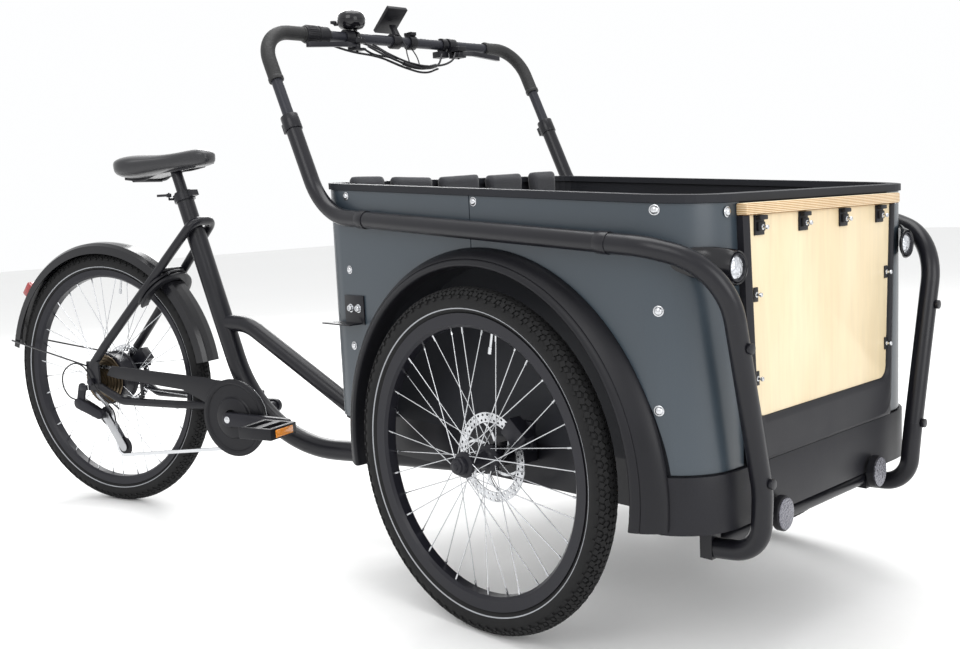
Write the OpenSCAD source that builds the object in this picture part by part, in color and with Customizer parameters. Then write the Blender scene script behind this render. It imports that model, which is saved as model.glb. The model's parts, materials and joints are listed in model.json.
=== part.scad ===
// Front-load cargo tricycle: a big box between two 24 inch front wheels, steered as one
// with its handlebar against a step-through rear frame with one 26 inch wheel.
// Frame: +X is forwards, +Y is to the rider's left, +Z is up, and the ground is Z = 0.
// The rear frame stands turned by steer_rest about the upright steering pin.

/* [Steering] */
// Steering pin, behind the front axle
pivot_x = -157; // [-175:1:-140]
// Turn of the rear frame at rest, in degrees
steer_rest = 18.4; // [0:0.1:25]

/* [Front wheels] */
// Outer radius of the 24 inch tyre
front_r = 303.5; // [300:0.5:306]
// Half the track of the front wheels
track_half = 385; // [383:1:390]
// Width of the front tyre
front_tyre_w = 49; // [44:1:50]

/* [Rear wheel] */
// Outer radius of the 26 inch tyre
rear_r = 329.5; // [326:0.5:331]
// Distance from the steering pin back to the rear axle
rear_axle_back = 1284.5; // [1275:0.5:1295]
// Width of the rear tyre
rear_tyre_w = 50; // [46:1:50]

/* [Box] */
// Rear face of the box
box_rear_x = -465; // [-470:1:-462]
// Front face of the box
box_front_x = 436; // [430:1:440]
// Half the width over the side panels
box_half_w = 360; // [358:0.5:361]
// Radius of the front corners
front_corner_r = 100; // [80:1:105]
// Radius of the rear corners
rear_corner_r = 75; // [68:1:75]
// Underside of the box floor
floor_z = 325; // [325:1:327]
// Height of the rim above the front axle
rim_z = 771; // [765:1:775]
// Fall of the rim towards the front, in degrees
rim_fall = 3.52; // [3:0.02:4]

/* [Side tubes] */
// Outside diameter of the bent side tubes
side_tube_d = 32; // [31.5:0.5:34]
// Distance of the legs from the middle
leg_y = 376.5; // [376.4:0.1:378]
// Height of the collars where the handlebar goes into the legs
collar_z = 917; // [900:1:930]

/* [Handlebar] */
// Outside diameter of the handlebar
bar_d = 23; // [22.2:0.2:24]
// Height of the cross bar
bar_z = 1117; // [1105:1:1125]

/* [Rear frame] */
// Outside diameter of the main tube
main_tube_d = 48; // [46:1:50]
// Height of the low part of the main tube
low_tube_z = 183; // [180:1:186]
// Length of the crank arms
crank_length = 172; // [165:1:175]

/* [Hidden] */

BLACK = "#1b1b1d";
GREY_BLUE = "#3f4c59";
DARK = "#26272b";
BIRCH = "#e3cda2";
STEEL = "#b9bcc0";
RUBBER = "#141414";

// The row's origin: the middle of the whole tricycle's outline on the ground.
mid_x = -605.1;
mid_y = -53.94;

seam = 0.02;            // hairline between the lengths of one bent tube
skin = 3;               // thickness of the outer panels
tub_wall = 12;
tub_inset = skin + 0.2;
well_y = 290;           // inner wall of the wheel wells
well_r = 338;
arch_seam_r = 385;      // where the arch meets the side panel
arch_seam_z = 286;
arch_lip_r = 342;
arch_lip_y = 395;
arch_end_z = 246;
rim_cap = 12;           // height of the rim moulding
rim_proud = 4;

leg_lean = 25.93;       // lean of the handlebar legs from upright
leg_dir = [-sin(leg_lean), 0, cos(leg_lean)];
collar = [-508, -leg_y, collar_z];
bar_bend = 72;
grip_d = 30;
leg_foot = collar - leg_dir * 204;
leg_top = collar + leg_dir * ((bar_z - collar_z) / cos(leg_lean));
bar_x = leg_top[0];
side_tube_id = bar_d + 0.1;

ring_pitch_r = 76.9;    // 38 teeth
cog_pitch_r = 36.6;     // 18 teeth
pulley_r = 22.5;        // 11 teeth
bb = [-820, 260];       // crank axle, as distance from the steering pin and height
rear_axle = [-rear_axle_back, rear_r];
guide_at = [-1268, 236];
tension_at = [-1214, 158];
chain_y = -47;
seat_lean = 17.7;
seat_dir = [-sin(seat_lean), 0, cos(seat_lean)];
seat_clamp = [-987, 0, 789];
main_bend_r = 300;
seat_foot_x = seat_clamp[0] + (seat_clamp[2] - low_tube_z) * tan(seat_lean);
lock_angle = 47;        // place of the ring lock round the rear wheel
lock_r = 62;

// ---------- helpers ----------

function unit(v) = v / norm(v);
function arc(c, r, from, to, n) =
    [for (i = [0 : n]) let (a = from + (to - from) * i / n) [c[0] + r * cos(a), c[1] + r * sin(a)]];

// Everything is drawn from the point on the ground between the front wheels.
module front() { translate([-mid_x, -mid_y, 0]) children(); }

// The rear frame is drawn straight behind the steering pin, then turned.
module behind() { front() translate([pivot_x, 0, 0]) rotate([0, 0, steer_rest]) children(); }

module pair() { children(); mirror([0, 1, 0]) children(); }

// Draws its children along +Z at a, looking towards b.
module along(a, b) {
    d = b - a;
    translate(a) rotate([0, acos(d[2] / norm(d)), atan2(d[1], d[0])]) children();
}

module rod(a, b, r, fn = 32) { along(a, b) cylinder(h = norm(b - a), r = r, $fn = fn); }

// A round piece whose axis lies along Y, from y0 to y1.
module across(y0, y1, r, fn = 64) {
    translate([0, y0, 0]) rotate([-90, 0, 0]) cylinder(h = y1 - y0, r = r, $fn = fn);
}

// A profile of [radius, place along Y] turned about the Y axis.
module turned(profile, fn = 96) {
    rotate([-90, 0, 0]) rotate_extrude($fn = fn) polygon(profile);
}

module ring2d(od, id) {
    difference() {
        circle(r = od / 2, $fn = 48);
        if (id > 0) circle(r = id / 2, $fn = 48);
    }
}

// A round tube along points, with a bend radius at each inner point.
module bent_tube(pts, bend, od, id = 0) {
    last = len(pts) - 1;
    dirs = [for (i = [0 : last - 1]) unit(pts[i + 1] - pts[i])];
    turns = [for (i = [0 : last]) i == 0 || i == last ? 0 : acos(dirs[i - 1] * dirs[i])];
    cut = [for (i = [0 : last]) i == 0 || i == last ? 0 : bend[i] * tan(turns[i] / 2)];
    for (i = [0 : last - 1]) {
        a = pts[i] + dirs[i] * (cut[i] + seam);
        b = pts[i + 1] - dirs[i] * (cut[i + 1] + seam);
        along(a, b) linear_extrude(norm(b - a)) ring2d(od, id);
    }
    for (i = [1 : last - 1]) {
        c = pts[i] + unit(dirs[i] - dirs[i - 1]) * bend[i] / cos(turns[i] / 2);
        s = unit(pts[i] - dirs[i - 1] * cut[i] - c);
        w = unit(cross(dirs[i - 1], dirs[i]));
        t = cross(w, s);
        multmatrix([[s[0], t[0], w[0], c[0]], [s[1], t[1], w[1], c[1]],
                    [s[2], t[2], w[2], c[2]], [0, 0, 0, 1]])
            rotate_extrude(angle = turns[i], $fn = 96) translate([bend[i], 0]) ring2d(od, id);
    }
}

// A thin cable swept along points, as one closed skin.
module cable(pts, r, sides = 8) {
    n = len(pts);
    t = [for (i = [0 : n - 1]) unit(pts[min(i + 1, n - 1)] - pts[max(i - 1, 0)])];
    side = [for (i = [0 : n - 1]) unit(cross(t[i], [0.13, 0.21, 0.97]))];
    ring = [for (i = [0 : n - 1]) for (k = [0 : sides - 1])
        pts[i] + r * (cos(360 * k / sides) * side[i] + sin(360 * k / sides) * cross(t[i], side[i]))];
    walls = [for (i = [0 : n - 2]) for (k = [0 : sides - 1])
        let (a = i * sides + k, b = i * sides + (k + 1) % sides) [a, a + sides, b + sides, b]];
    caps = [[for (k = [0 : sides - 1]) k], [for (k = [sides - 1 : -1 : 0]) (n - 1) * sides + k]];
    polyhedron(concat(ring, [pts[0], pts[n - 1]]), concat(
        [for (q = walls) [q[0], q[2], q[1]]], [for (q = walls) [q[0], q[3], q[2]]],
        [for (k = [0 : sides - 1]) [n * sides, (k + 1) % sides, k]],
        [for (k = [0 : sides - 1]) [n * sides + 1, (n - 1) * sides + k, (n - 1) * sides + (k + 1) % sides]]));
}

// Smooth points through a few chosen ones.
function curve(p, steps) = concat(
    [for (i = [0 : len(p) - 2]) for (j = [0 : steps - 1])
        let (u = j / steps, a = p[max(i - 1, 0)], b = p[i], c = p[i + 1], d = p[min(i + 2, len(p) - 1)])
            0.5 * (2 * b + (c - a) * u + (2 * a - 5 * b + 4 * c - d) * u * u + (3 * b - a - 3 * c + d) * u * u * u)],
    [p[len(p) - 1]]);

// Outline of the box seen from above, moved inwards by inset.
function box_outline(inset) = let (
    x0 = box_rear_x + inset, x1 = box_front_x - inset, w = box_half_w - inset,
    rr = max(rear_corner_r - inset, 2), rf = max(front_corner_r - inset, 2)) concat(
    arc([x1 - rf, -w + rf], rf, -90, 0, 10), arc([x1 - rf, w - rf], rf, 0, 90, 10),
    arc([x0 + rr, w - rr], rr, 90, 180, 6), arc([x0 + rr, -w + rr], rr, 180, 270, 6));

module box_prism(inset, z0, z1) { translate([0, 0, z0]) linear_extrude(z1 - z0) polygon(box_outline(inset)); }

// Everything above the sloping rim, lowered by drop.
module above_rim(drop = 0) {
    translate([0, 0, rim_z - drop]) rotate([0, rim_fall, 0]) translate([-900, -600, 0]) cube([1800, 1200, 400]);
}

function rim_height(x) = rim_z - x * tan(rim_fall);

// ---------- box ----------

module tub() {
    front() color(DARK) {
        difference() {
            union() {
                difference() {
                    box_prism(tub_inset, floor_z, 860);
                    box_prism(tub_inset + tub_wall, floor_z + 12, 870);
                    above_rim(rim_cap + 0.2);
                }
                intersection() {
                    box_prism(tub_inset, floor_z, 700);
                    pair() translate([0, 0, front_r]) across(-box_half_w, -(well_y - 6), well_r + 6, 96);
                }
            }
            pair() translate([0, 0, front_r]) across(-box_half_w - 10, -well_y, well_r, 96);
        }
        difference() {
            box_prism(-rim_proud, floor_z + 100, 860);
            box_prism(tub_inset + tub_wall + 6, floor_z, 870);
            above_rim();
            difference() {
                translate([0, 0, floor_z]) translate([-700, -600, 0]) cube([1400, 1200, 600]);
                above_rim(rim_cap);
            }
        }
    }
}

// The skin of one side, from the middle of the back corner to the front board.
module side_panels() {
    panel_seam_x = -17;
    difference() {
        box_prism(0, floor_z + 6, 860);
        box_prism(skin, floor_z, 870);
        above_rim(rim_cap + 0.4);
        translate([0, 0, arch_seam_z]) across(-600, 600, arch_seam_r, 128);
        translate([-700, -(box_half_w - rear_corner_r), 0]) cube([1400, 1200, 900]);
        translate([panel_seam_x - 0.75, -600, 0]) cube([1.5, 600, 900]);
    }
    difference() {
        box_prism(0, floor_z + 6, 860);
        box_prism(skin, floor_z, 870);
        above_rim(rim_cap + 0.4);
        translate([-700, -600, 0]) cube([1400, 600 - (box_half_w - rear_corner_r), 900]);
        translate([-700, -(box_half_w - rear_corner_r) - 1, 0]) cube([1000, 1200, 900]);
        translate([0, -235, 0]) cube([800, 800, 900]);
    }
}

module side_panels_right() { front() color(GREY_BLUE) side_panels(); }
module side_panels_left() { front() color(GREY_BLUE) mirror([0, 1, 0]) side_panels(); }

module back_panel() {
    half = box_half_w - rear_corner_r - 1.5;
    front() color(GREY_BLUE) difference() {
        translate([box_rear_x, -half, floor_z + 6]) cube([skin, 2 * half, 600]);
        above_rim(rim_cap + 0.4);
    }
}

// Birch front with its rail on top.
module front_board() {
    x = box_front_x + 0.2;
    front() color(BIRCH) {
        translate([x, 0, 0]) rotate([90, 0, 90]) linear_extrude(9) polygon(concat(
            arc([-190, 424], 22, 186, 270, 6), arc([190, 424], 22, 270, 354, 6), [[227, 711], [-227, 711]]));
        translate([x, -246, 711.5]) cube([20, 492, 18]);
    }
}

stud_y = [-200, -72, 57, 185];
module canopy_studs() {
    x = box_front_x + 9.4;
    front() color(BLACK) {
        for (y = stud_y) translate([0, y, 0]) {
            translate([x, -13, 680]) cube([2, 26, 31]);
            translate([x + 2, 0, 695]) rotate([0, 90, 0]) cylinder(h = 9, r = 3.2, $fn = 24);
            translate([x + 11, -10, 691]) cube([3, 20, 8]);
        }
        pair() for (z = [463, 591]) translate([x, -211, z]) {
            translate([0, -7, -12]) cube([1.5, 14, 24]);
            translate([1.5, 0, 0]) rotate([0, 90, 0]) cylinder(h = 6, r = 3.2, $fn = 24);
        }
    }
}

side_bolts = [[-365, 770], [-6, 749], [370, 726], [-367, 627], [372, 578], [369, 429], [-367, 477]];
module dome_bolts() {
    front() color(STEEL) pair() for (b = side_bolts) {
        on_corner = b[0] > box_front_x - front_corner_r;
        turn = on_corner ? asin((b[0] - (box_front_x - front_corner_r)) / front_corner_r) : 0;
        out = box_half_w + 0.1 - (on_corner ? front_corner_r * (1 - cos(turn)) : 0);
        translate([b[0], -out, b[1]]) rotate([0, 0, turn]) rotate([90, 0, 0]) {
            cylinder(h = 1.2, r = 10, $fn = 32);
            translate([0, 0, 1.2]) cylinder(h = 4, r1 = 8, r2 = 4, $fn = 32);
        }
    }
}

// Wheel arch: a flare from the seam on the side panel out to the lip over the tyre.
module fender() {
    difference() {
        hull() {
            translate([0, 0, arch_seam_z]) across(-box_half_w - 1.5, -box_half_w - 0.3, arch_seam_r, 96);
            translate([0, 0, front_r]) across(-arch_lip_y, -arch_lip_y + 1, arch_lip_r, 96);
        }
        translate([0, 0, front_r]) across(-500, -300, well_r - 2, 96);
        translate([-600, -500, -100]) cube([1200, 400, arch_end_z + 100]);
    }
    difference() {
        translate([0, 0, arch_seam_z]) across(-box_half_w - 0.2, -box_half_w + skin + 0.1, arch_seam_r - 0.5, 96);
        translate([0, 0, front_r]) across(-500, -300, well_r - 2, 96);
        translate([-600, -500, -100]) cube([1200, 400, floor_z + 107]);
    }
}

module fender_right() { front() color(BLACK) fender(); }
module fender_left() { front() color(BLACK) mirror([0, 1, 0]) fender(); }

// Moulded bumper round the lower front, with a lip under the board.
module front_skirt() {
    front() color(BLACK) {
        difference() {
            box_prism(-6, 240, floor_z + 4);
            box_prism(14, 200, floor_z + 10);
            box_prism(-0.3, floor_z - 0.3, floor_z + 10);
            translate([-900, -600, 0]) cube([1215, 1200, 900]);
            translate([0, 0, front_r]) across(-600, 600, well_r + 1, 96);
            pair() translate([0, 0, arch_seam_z]) across(-600, -box_half_w + 0.1, arch_seam_r + 0.3, 96);
        }
        translate([box_front_x + 0.2, -232, floor_z + 5]) cube([10, 464, 72]);
    }
}

// ---------- tubes round the box ----------

front_top = [479, -337, 643];
front_low = [477, -250, 300];
tube_foot = [470, -246, 203];
tube_end = [396, -251, 197];
side_front = [375, -386, 675];

module side_tube() {
    bent_tube([collar, leg_foot, side_front, front_top, front_low, tube_foot, tube_end],
              [0, 140, 90, 118, 120, 52, 0], side_tube_d, side_tube_id);
}
module side_tube_right() { front() color(BLACK) side_tube(); }
module side_tube_left() { front() color(BLACK) mirror([0, 1, 0]) side_tube(); }

module step_bar() {
    front() color(BLACK) rod([380, -238.8, 198], [380, 238.8, 198], 13);
}

// Collars, tube clamps and the small angle brackets on the box.
bracket_z = 521;
module tube_fittings() {
    front() color(BLACK) pair() {
        along(collar - leg_dir * 12, collar + leg_dir * 20) {
            difference() {
                union() {
                    cylinder(h = 32, r = 18.5, $fn = 48);
                    translate([8, -7, 5]) cube([18, 14, 21]);
                }
                translate([0, 0, -1]) cylinder(h = 13, r = side_tube_d / 2 + 0.05, $fn = 48);
                translate([0, 0, 5]) cylinder(h = 40, r = bar_d / 2 + 0.05, $fn = 48);
                translate([14, -1, -1]) cube([30, 2, 40]);
            }
        }
        for (x = [-290, 300]) {
            t = (x - leg_foot[0]) / (side_front[0] - leg_foot[0]);
            p = leg_foot + (side_front - leg_foot) * t;
            along(p - unit(side_front - leg_foot) * 11, side_front) difference() {
                cylinder(h = 22, r = side_tube_d / 2 + 1.4, $fn = 48);
                translate([0, 0, -1]) cylinder(h = 24, r = side_tube_d / 2 + 0.1, $fn = 48);
            }
            rod([x, -box_half_w - 0.3, p[2]], [x, p[1] + side_tube_d / 2 + 1, p[2]], 6);
        }
        for (f = [0.345, 0.955]) {
            p = front_top + (front_low - front_top) * f;
            rod([p[0] + side_tube_d / 2 + 0.2, p[1], p[2]], [p[0] + side_tube_d / 2 + 6, p[1], p[2]], 8);
        }
        translate([-386, -box_half_w - 3.2, bracket_z]) cube([60, 3, 56]);
        difference() {
            translate([-425, -box_half_w - 33.2, bracket_z]) cube([90, 30.6, 3]);
            for (x = [-405, -381]) translate([x, -box_half_w - 18, bracket_z - 1]) cylinder(h = 5, r = 3.25, $fn = 32);
        }
    }
}

lamp_at = [452, -273, 637];
module headlights() {
    front() color(BLACK) pair() {
        hull() {
            translate(lamp_at - [14, 0, 0]) rotate([0, 90, 0]) cylinder(h = 12, r = 23, $fn = 32);
            translate(lamp_at + [-4, -26, 8]) sphere(r = 8, $fn = 20);
        }
        translate(lamp_at - [2, 0, 0]) rotate([0, 90, 0]) cylinder(h = 6, r = 18, $fn = 48);
    }
}

// ---------- inside the box ----------

cushion_w = [94, 122, 128, 122, 94];
cushion_gap = 14;
cushion_x = box_rear_x + tub_inset + tub_wall + 6.4;
module cushions() {
    start = -(128 + 2 * 122 + 2 * 94 + 4 * cushion_gap) / 2;
    at = [start, start + 108, start + 244, start + 386, start + 522];
    front() color("#3a3b3f") {
        for (i = [0 : 4]) hull() for (z = [615, 800]) for (y = [16, cushion_w[i] - 16])
            translate([cushion_x + (i % 4 == 0 ? 6 : 0), at[i] + y, z]) rotate([0, 90, 0])
                cylinder(h = 26, r = 15, $fn = 20);
        hull() for (x = [-388, -215]) for (y = [-262, 262])
            translate([x, y, 577]) cylinder(h = 22, r = 16, $fn = 20);
    }
}

module bench() {
    front() color(BIRCH) {
        translate([-428, -282, 564.3]) cube([240, 564, 12]);
        translate([-202, -270, 337.5]) cube([12, 540, 226.6]);
        pair() translate([-428, -282, 337.5]) cube([225.8, 12, 226.6]);
    }
}

module battery() {
    front() color(BLACK) {
        translate([-400, -185, 337.5]) cube([150, 370, 90]);
        translate([-340, -60, 428]) cube([30, 120, 18]);
    }
}

// ---------- steel chassis ----------

module beam(a, size) { translate(a) cube(size); }

module chassis() {
    front() color(BLACK) {
        difference() {
            union() {
                pair() {
                    beam([-455, -289, 247], [870, 30, 77.8]);
                    translate([0, 0, front_r]) across(-328, -288, 21, 48);
                }
                for (x = [-455, -175, 385]) beam([x, -259, 288], [36, 518, 36.8]);
                beam([-419, -70, 300], [804, 30, 24]);
                beam([-419, 40, 300], [804, 30, 24]);
                translate([pivot_x, 0, 222]) cylinder(h = 102, r = 34, $fn = 64);
            }
            translate([pivot_x, 0, 200]) cylinder(h = 110, r = 17.05, $fn = 64);
        }
        pair() translate([0, 0, front_r]) across(-track_half - 48, -300, 10, 48);
        pair() beam([372, -264, 180], [22, 25, 68]);
    }
}

// ---------- front wheels ----------

module tyre(r, w, rim_top) {
    s = w / 2;
    rotate([-90, 0, 0]) rotate_extrude($fn = 128) difference() {
        translate([r - s, 0]) circle(r = s, $fn = 48);
        translate([r - s, 0]) circle(r = s - 4, $fn = 48);
        translate([0, -s - 1]) square([rim_top + 0.2, 2 * s + 2]);
    }
}

module rim(inner, top) {
    turned(concat([[inner, -9], [inner, 9], [inner + 5, 14], [top, 15.5], [top, 12.5], [top - 7, 11.5],
        [top - 9, 6], [top - 9, -6], [top - 7, -11.5], [top, -12.5], [top, -15.5], [inner + 5, -14]]), 128);
}

// Crossed spokes from two flanges; out and in spokes lie side by side where they cross.
module spokes(flange_r, y_plus, y_minus, rim_r, cross_angle, phase) {
    for (s = [0 : 1]) for (j = [0 : 17]) {
        lead = j % 2 == 0 ? 1 : -1;
        hub_a = phase + 20 * j + 10 * s;
        rim_a = hub_a + lead * cross_angle;
        y = s == 0 ? y_plus : y_minus;
        off = lead * 2.1;
        rim_y = (s == 0 ? 5 : -5) + lead * 0.9;
        rod([flange_r * cos(hub_a), y + off, flange_r * sin(hub_a)],
            [rim_r * cos(rim_a), rim_y, rim_r * sin(rim_a)], 1, 16);
    }
}

module disc(y, t, bore) {
    difference() {
        across(y - t / 2, y + t / 2, 80, 96);
        across(y - 10, y + 10, bore, 48);
        for (a = [0 : 60 : 300]) rotate([0, a, 0]) translate([46, 0, 0]) across(y - 10, y + 10, 16, 24);
    }
}

// Drawn with its outboard side towards -Y, as the right wheel sits.
module front_hub() {
    difference() {
        turned([[0.1, -54], [13, -54], [16, -50], [16, -34], [22, -33], [22, -27], [15, -24], [15, 20],
                [27, 22], [27, 28], [22, 30], [22, 45], [0.1, 45]], 64);
        across(-49, 60, 10.05, 48);
    }
    disc(35, 1.9, 22.2);
}

module right_wheel() { front() translate([0, -track_half, front_r]) children(); }
module left_wheel() { front() translate([0, track_half, front_r]) mirror([0, 1, 0]) children(); }

module tyre_front_right() { right_wheel() color(RUBBER) tyre(front_r, front_tyre_w, 259.5); }
module tyre_front_left() { left_wheel() color(RUBBER) tyre(front_r, front_tyre_w, 259.5); }
module rim_front_right() { right_wheel() color(BLACK) rim(234.5, 259.5); }
module rim_front_left() { left_wheel() color(BLACK) rim(234.5, 259.5); }
module spokes_front_right() { right_wheel() color(STEEL) spokes(19, -30, 25, 235.5, 60, 4); }
module spokes_front_left() { left_wheel() color(STEEL) spokes(19, -30, 25, 235.5, 60, 4); }
module hub_front_right() { right_wheel() color(BLACK) front_hub(); }
module hub_front_left() { left_wheel() color(BLACK) front_hub(); }

module caliper_body() {
    difference() {
        translate([-24, -12, -18]) cube([48, 27, 36]);
        translate([-60, -2, -40]) cube([120, 4, 52]);
    }
}

module front_calipers() {
    front() color(BLACK) pair() {
        translate([66, -track_half + 35, front_r + 50]) rotate([0, 40, 0]) caliper_body();
        beam([48, -track_half + 51, front_r + 20], [36, 12, 50]);
        beam([40, -track_half + 51, front_r - 10], [16, 43, 44]);
    }
}

// ---------- handlebar ----------

insert = 60;
corner = leg_top;
grip_reach = 108;       // how far the grips run in along the cross bar
module handlebar() {
    a = collar - leg_dir * insert;
    flip = function(p) [p[0], -p[1], p[2]];
    front() color(BLACK)
        bent_tube([a, corner, flip(corner), flip(a)], [0, bar_bend, bar_bend, 0], bar_d, bar_d - 5);
}

module grips() {
    front() color(RUBBER) pair() {
        a = corner - leg_dir * 118;
        b = corner + [0, grip_reach, 0];
        bent_tube([a, corner, b], [0, bar_bend, 0], grip_d, bar_d + 0.1);
    }
}

module bar_ring(y0, y1, r, bore = bar_d / 2 + 0.05) {
    translate([bar_x, 0, bar_z]) difference() {
        across(y0, y1, r, 48);
        across(y0 - 1, y1 + 1, bore, 48);
    }
}

pivot_y = 150;
lever_pivot = [bar_x + 30, -pivot_y, bar_z - 22];
display_at = [bar_x - 14, -16, bar_z + 50];
display_tilt = -40;
module bar_fittings() {
    front() color(BLACK) {
        pair() {
            bar_ring(-pivot_y - 12, -pivot_y + 10, 16.7);
            difference() {
                translate([bar_x + 12, -pivot_y - 12, bar_z - 32]) cube([32, 26, 26]);
                translate(lever_pivot + [-12, -20, -5]) cube([40, 40, 10]);
                translate([bar_x, 0, bar_z]) across(-400, 400, 16, 32);
                translate(lever_pivot - [0, 0, 20]) cylinder(h = 40, r = 2.5, $fn = 24);
            }
            translate(lever_pivot - [0, 0, 13]) cylinder(h = 26, r = 2.4, $fn = 24);
        }
        bar_ring(-30, -8, 17);
        hull() {
            translate([bar_x + 4, -25, bar_z + 12]) cube([10, 12, 2]);
            translate(display_at + [2, -6, -14]) cube([8, 12, 2]);
        }
        translate(display_at) rotate([0, display_tilt, 0]) translate([-36, -28, -5]) cube([72, 56, 9]);
        bar_ring(20, 38, 16.5);
        difference() {
            translate([bar_x - 13, 21, bar_z + 15]) cube([26, 16, 8]);
            translate([bar_x, 29, bar_z + 18]) cylinder(h = 6, r = 5.3, $fn = 32);
        }
        bar_ring(120, 134, 16);
        translate([bar_x - 10, 104, bar_z - 30]) cube([24, 30, 14]);
    }
}

// Right blade; squeezing turns it towards the bar about its upright pin.
module brake_lever() {
    difference() {
        union() {
            translate(lever_pivot - [0, 0, 4]) cylinder(h = 8, r = 8, $fn = 32);
            translate(lever_pivot + [-2, -10, -4]) rotate([0, 0, 12]) cube([10, 12, 8]);
            hull() {
                translate(lever_pivot + [3, -12, -4]) cylinder(h = 8, r = 6, $fn = 16);
                translate(lever_pivot + [12, -38, -5]) cylinder(h = 10, r = 5, $fn = 16);
            }
            hull() {
                translate(lever_pivot + [12, -38, -5]) cylinder(h = 10, r = 5, $fn = 16);
                translate(lever_pivot + [2, -128, -10]) cylinder(h = 10, r = 5.5, $fn = 16);
            }
        }
        translate(lever_pivot - [0, 0, 20]) cylinder(h = 40, r = 2.45, $fn = 24);
    }
}
module brake_lever_right() { front() color(STEEL) brake_lever(); }
module brake_lever_left() { front() color(STEEL) mirror([0, 1, 0]) brake_lever(); }

module twist_shifter() {
    front() color(BLACK) {
        bar_ring(-(leg_y - grip_reach - 0.5), -206, 19.5);
    }
}

bell_at = [bar_x + 2, -140, bar_z + 38];
bell_r = 31;
bell_half_h = 21;
bell_pin = 37;          // from the middle of the bell to the pin of its lever
module at_bell() { translate(bell_at) rotate([0, 0, 45]) children(); }
module bell() {
    front() color(BLACK) {
        bar_ring(-134, -126, 15.5);
        translate([bar_x, -130, bar_z + 13]) cylinder(h = bell_at[2] - bell_half_h - bar_z - 10, r = 3.6, $fn = 32);
        translate(bell_at) rotate_extrude($fn = 96) polygon(concat([[0.05, -bell_half_h]],
            [for (a = [-84 : 12 : 84]) [bell_r * sqrt(cos(a)), bell_half_h * sin(a)]], [[0.05, bell_half_h]]));
        at_bell() translate([-bell_pin - 4, -4, -9.3]) cube([18, 8, 3]);
        at_bell() translate([-bell_pin, 0, -8]) cylinder(h = 12, r = 1.95, $fn = 24);
    }
}

module bell_lever() {
    front() color(BLACK) at_bell() translate([-bell_pin, 0, -6]) difference() {
        union() {
            cylinder(h = 8, r = 4.6, $fn = 32);
            translate([-10, -4, 0]) cube([8, 8, 8]);
        }
        translate([0, 0, -1]) cylinder(h = 12, r = 2, $fn = 24);
    }
}

module display_button() {
    front() color("#3c3c40") translate([bar_x, 29, bar_z + 19.3]) cylinder(h = 5.2, r = 5, $fn = 32);
}

module bar_cables() {
    front() color(BLACK) {
        cable(curve([[bar_x + 34, -132, bar_z - 20], [bar_x + 60, -95, bar_z - 40], [bar_x + 66, -40, bar_z - 62],
            [bar_x + 60, 20, bar_z - 70], [bar_x + 40, 70, bar_z - 52], [bar_x + 20, 96, bar_z - 24]], 4), 2.5);
        cable(curve([[bar_x + 34, 132, bar_z - 20], [bar_x + 62, 90, bar_z - 48], [bar_x + 70, 40, bar_z - 60],
            [bar_x + 62, -20, bar_z - 56], [bar_x + 36, -70, bar_z - 34], [bar_x + 18, -98, bar_z - 17]], 4), 2.5);
    }
}

// ---------- rear frame ----------

module rear_frame() {
    seat_low = seat_clamp - seat_dir * 84;
    behind() color(BLACK) {
        difference() {
            bent_tube([seat_low, [seat_foot_x, 0, low_tube_z], [-28.5, 0, low_tube_z]],
                      [0, main_bend_r, 0], main_tube_d, main_tube_d - 5);
            translate([bb[0], 0, bb[1]]) across(-40, 40, 24.02, 64);
        }
        along(seat_low + seat_dir * seam, seat_clamp + seat_dir * 14) difference() {
            cylinder(h = norm(seat_clamp + seat_dir * 14 - seat_low) - seam, r = 21, $fn = 48);
            translate([0, 0, -1]) cylinder(h = 130, r = 13.65, $fn = 48);
        }
        bent_tube([[-894, 0, 480], [-815, 0, 478], [-404, 0, 211]], [0, 110, 0], 40, 35);
        translate([0, 0, low_tube_z - 28]) cylinder(h = 66, r = 28, $fn = 64);
        translate([0, 0, low_tube_z + 38]) cylinder(h = 0.8, r = 24, $fn = 64);
        translate([0, 0, low_tube_z + 38.8]) cylinder(h = 84, r = 17, $fn = 64);
        translate([bb[0], 0, bb[1]]) difference() {
            across(-34, 34, 24, 64);
            across(-40, 40, 12.05, 48);
        }
        pair() {
            bent_tube([[-846, -28, 272], [-905, -34, 279], [-1010, -54, 280], [-1190, -62, 281], [-1262, -66, 316]],
                      [0, 60, 60, 40, 0], 20, 16);
            difference() {
                translate([-1301, -72, 306]) cube([42, 6, 76]);
                translate([rear_axle[0], 0, rear_axle[1]]) across(-90, -60, 5.1, 32);
            }
        }
        bent_tube([[-1290, -63.5, 368], [-1235, -63.5, 424], [-932, -36, 730],
                   [-932, 36, 730], [-1235, 63.5, 424], [-1290, 63.5, 368]],
                  [0, 80, 26, 26, 80, 0], 22, 18);
        rod([-1050, -45, 611], [-1050, 45, 611], 7);
        along(seat_clamp - seat_dir * 9, seat_clamp + seat_dir * 9) difference() {
            union() {
                cylinder(h = 18, r = 26, $fn = 48);
                translate([-38, -11, 2]) cube([20, 22, 14]);
            }
            translate([0, 0, -1]) cylinder(h = 20, r = 21.05, $fn = 48);
        }
        translate(clamp_lever_at + [0, 0, -6]) cylinder(h = 17, r = 1.95, $fn = 24);
        rod(clamp_lever_at + [0, 0, -5], clamp_lever_at + [0, 44, -5], 3);
    }
}

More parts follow.
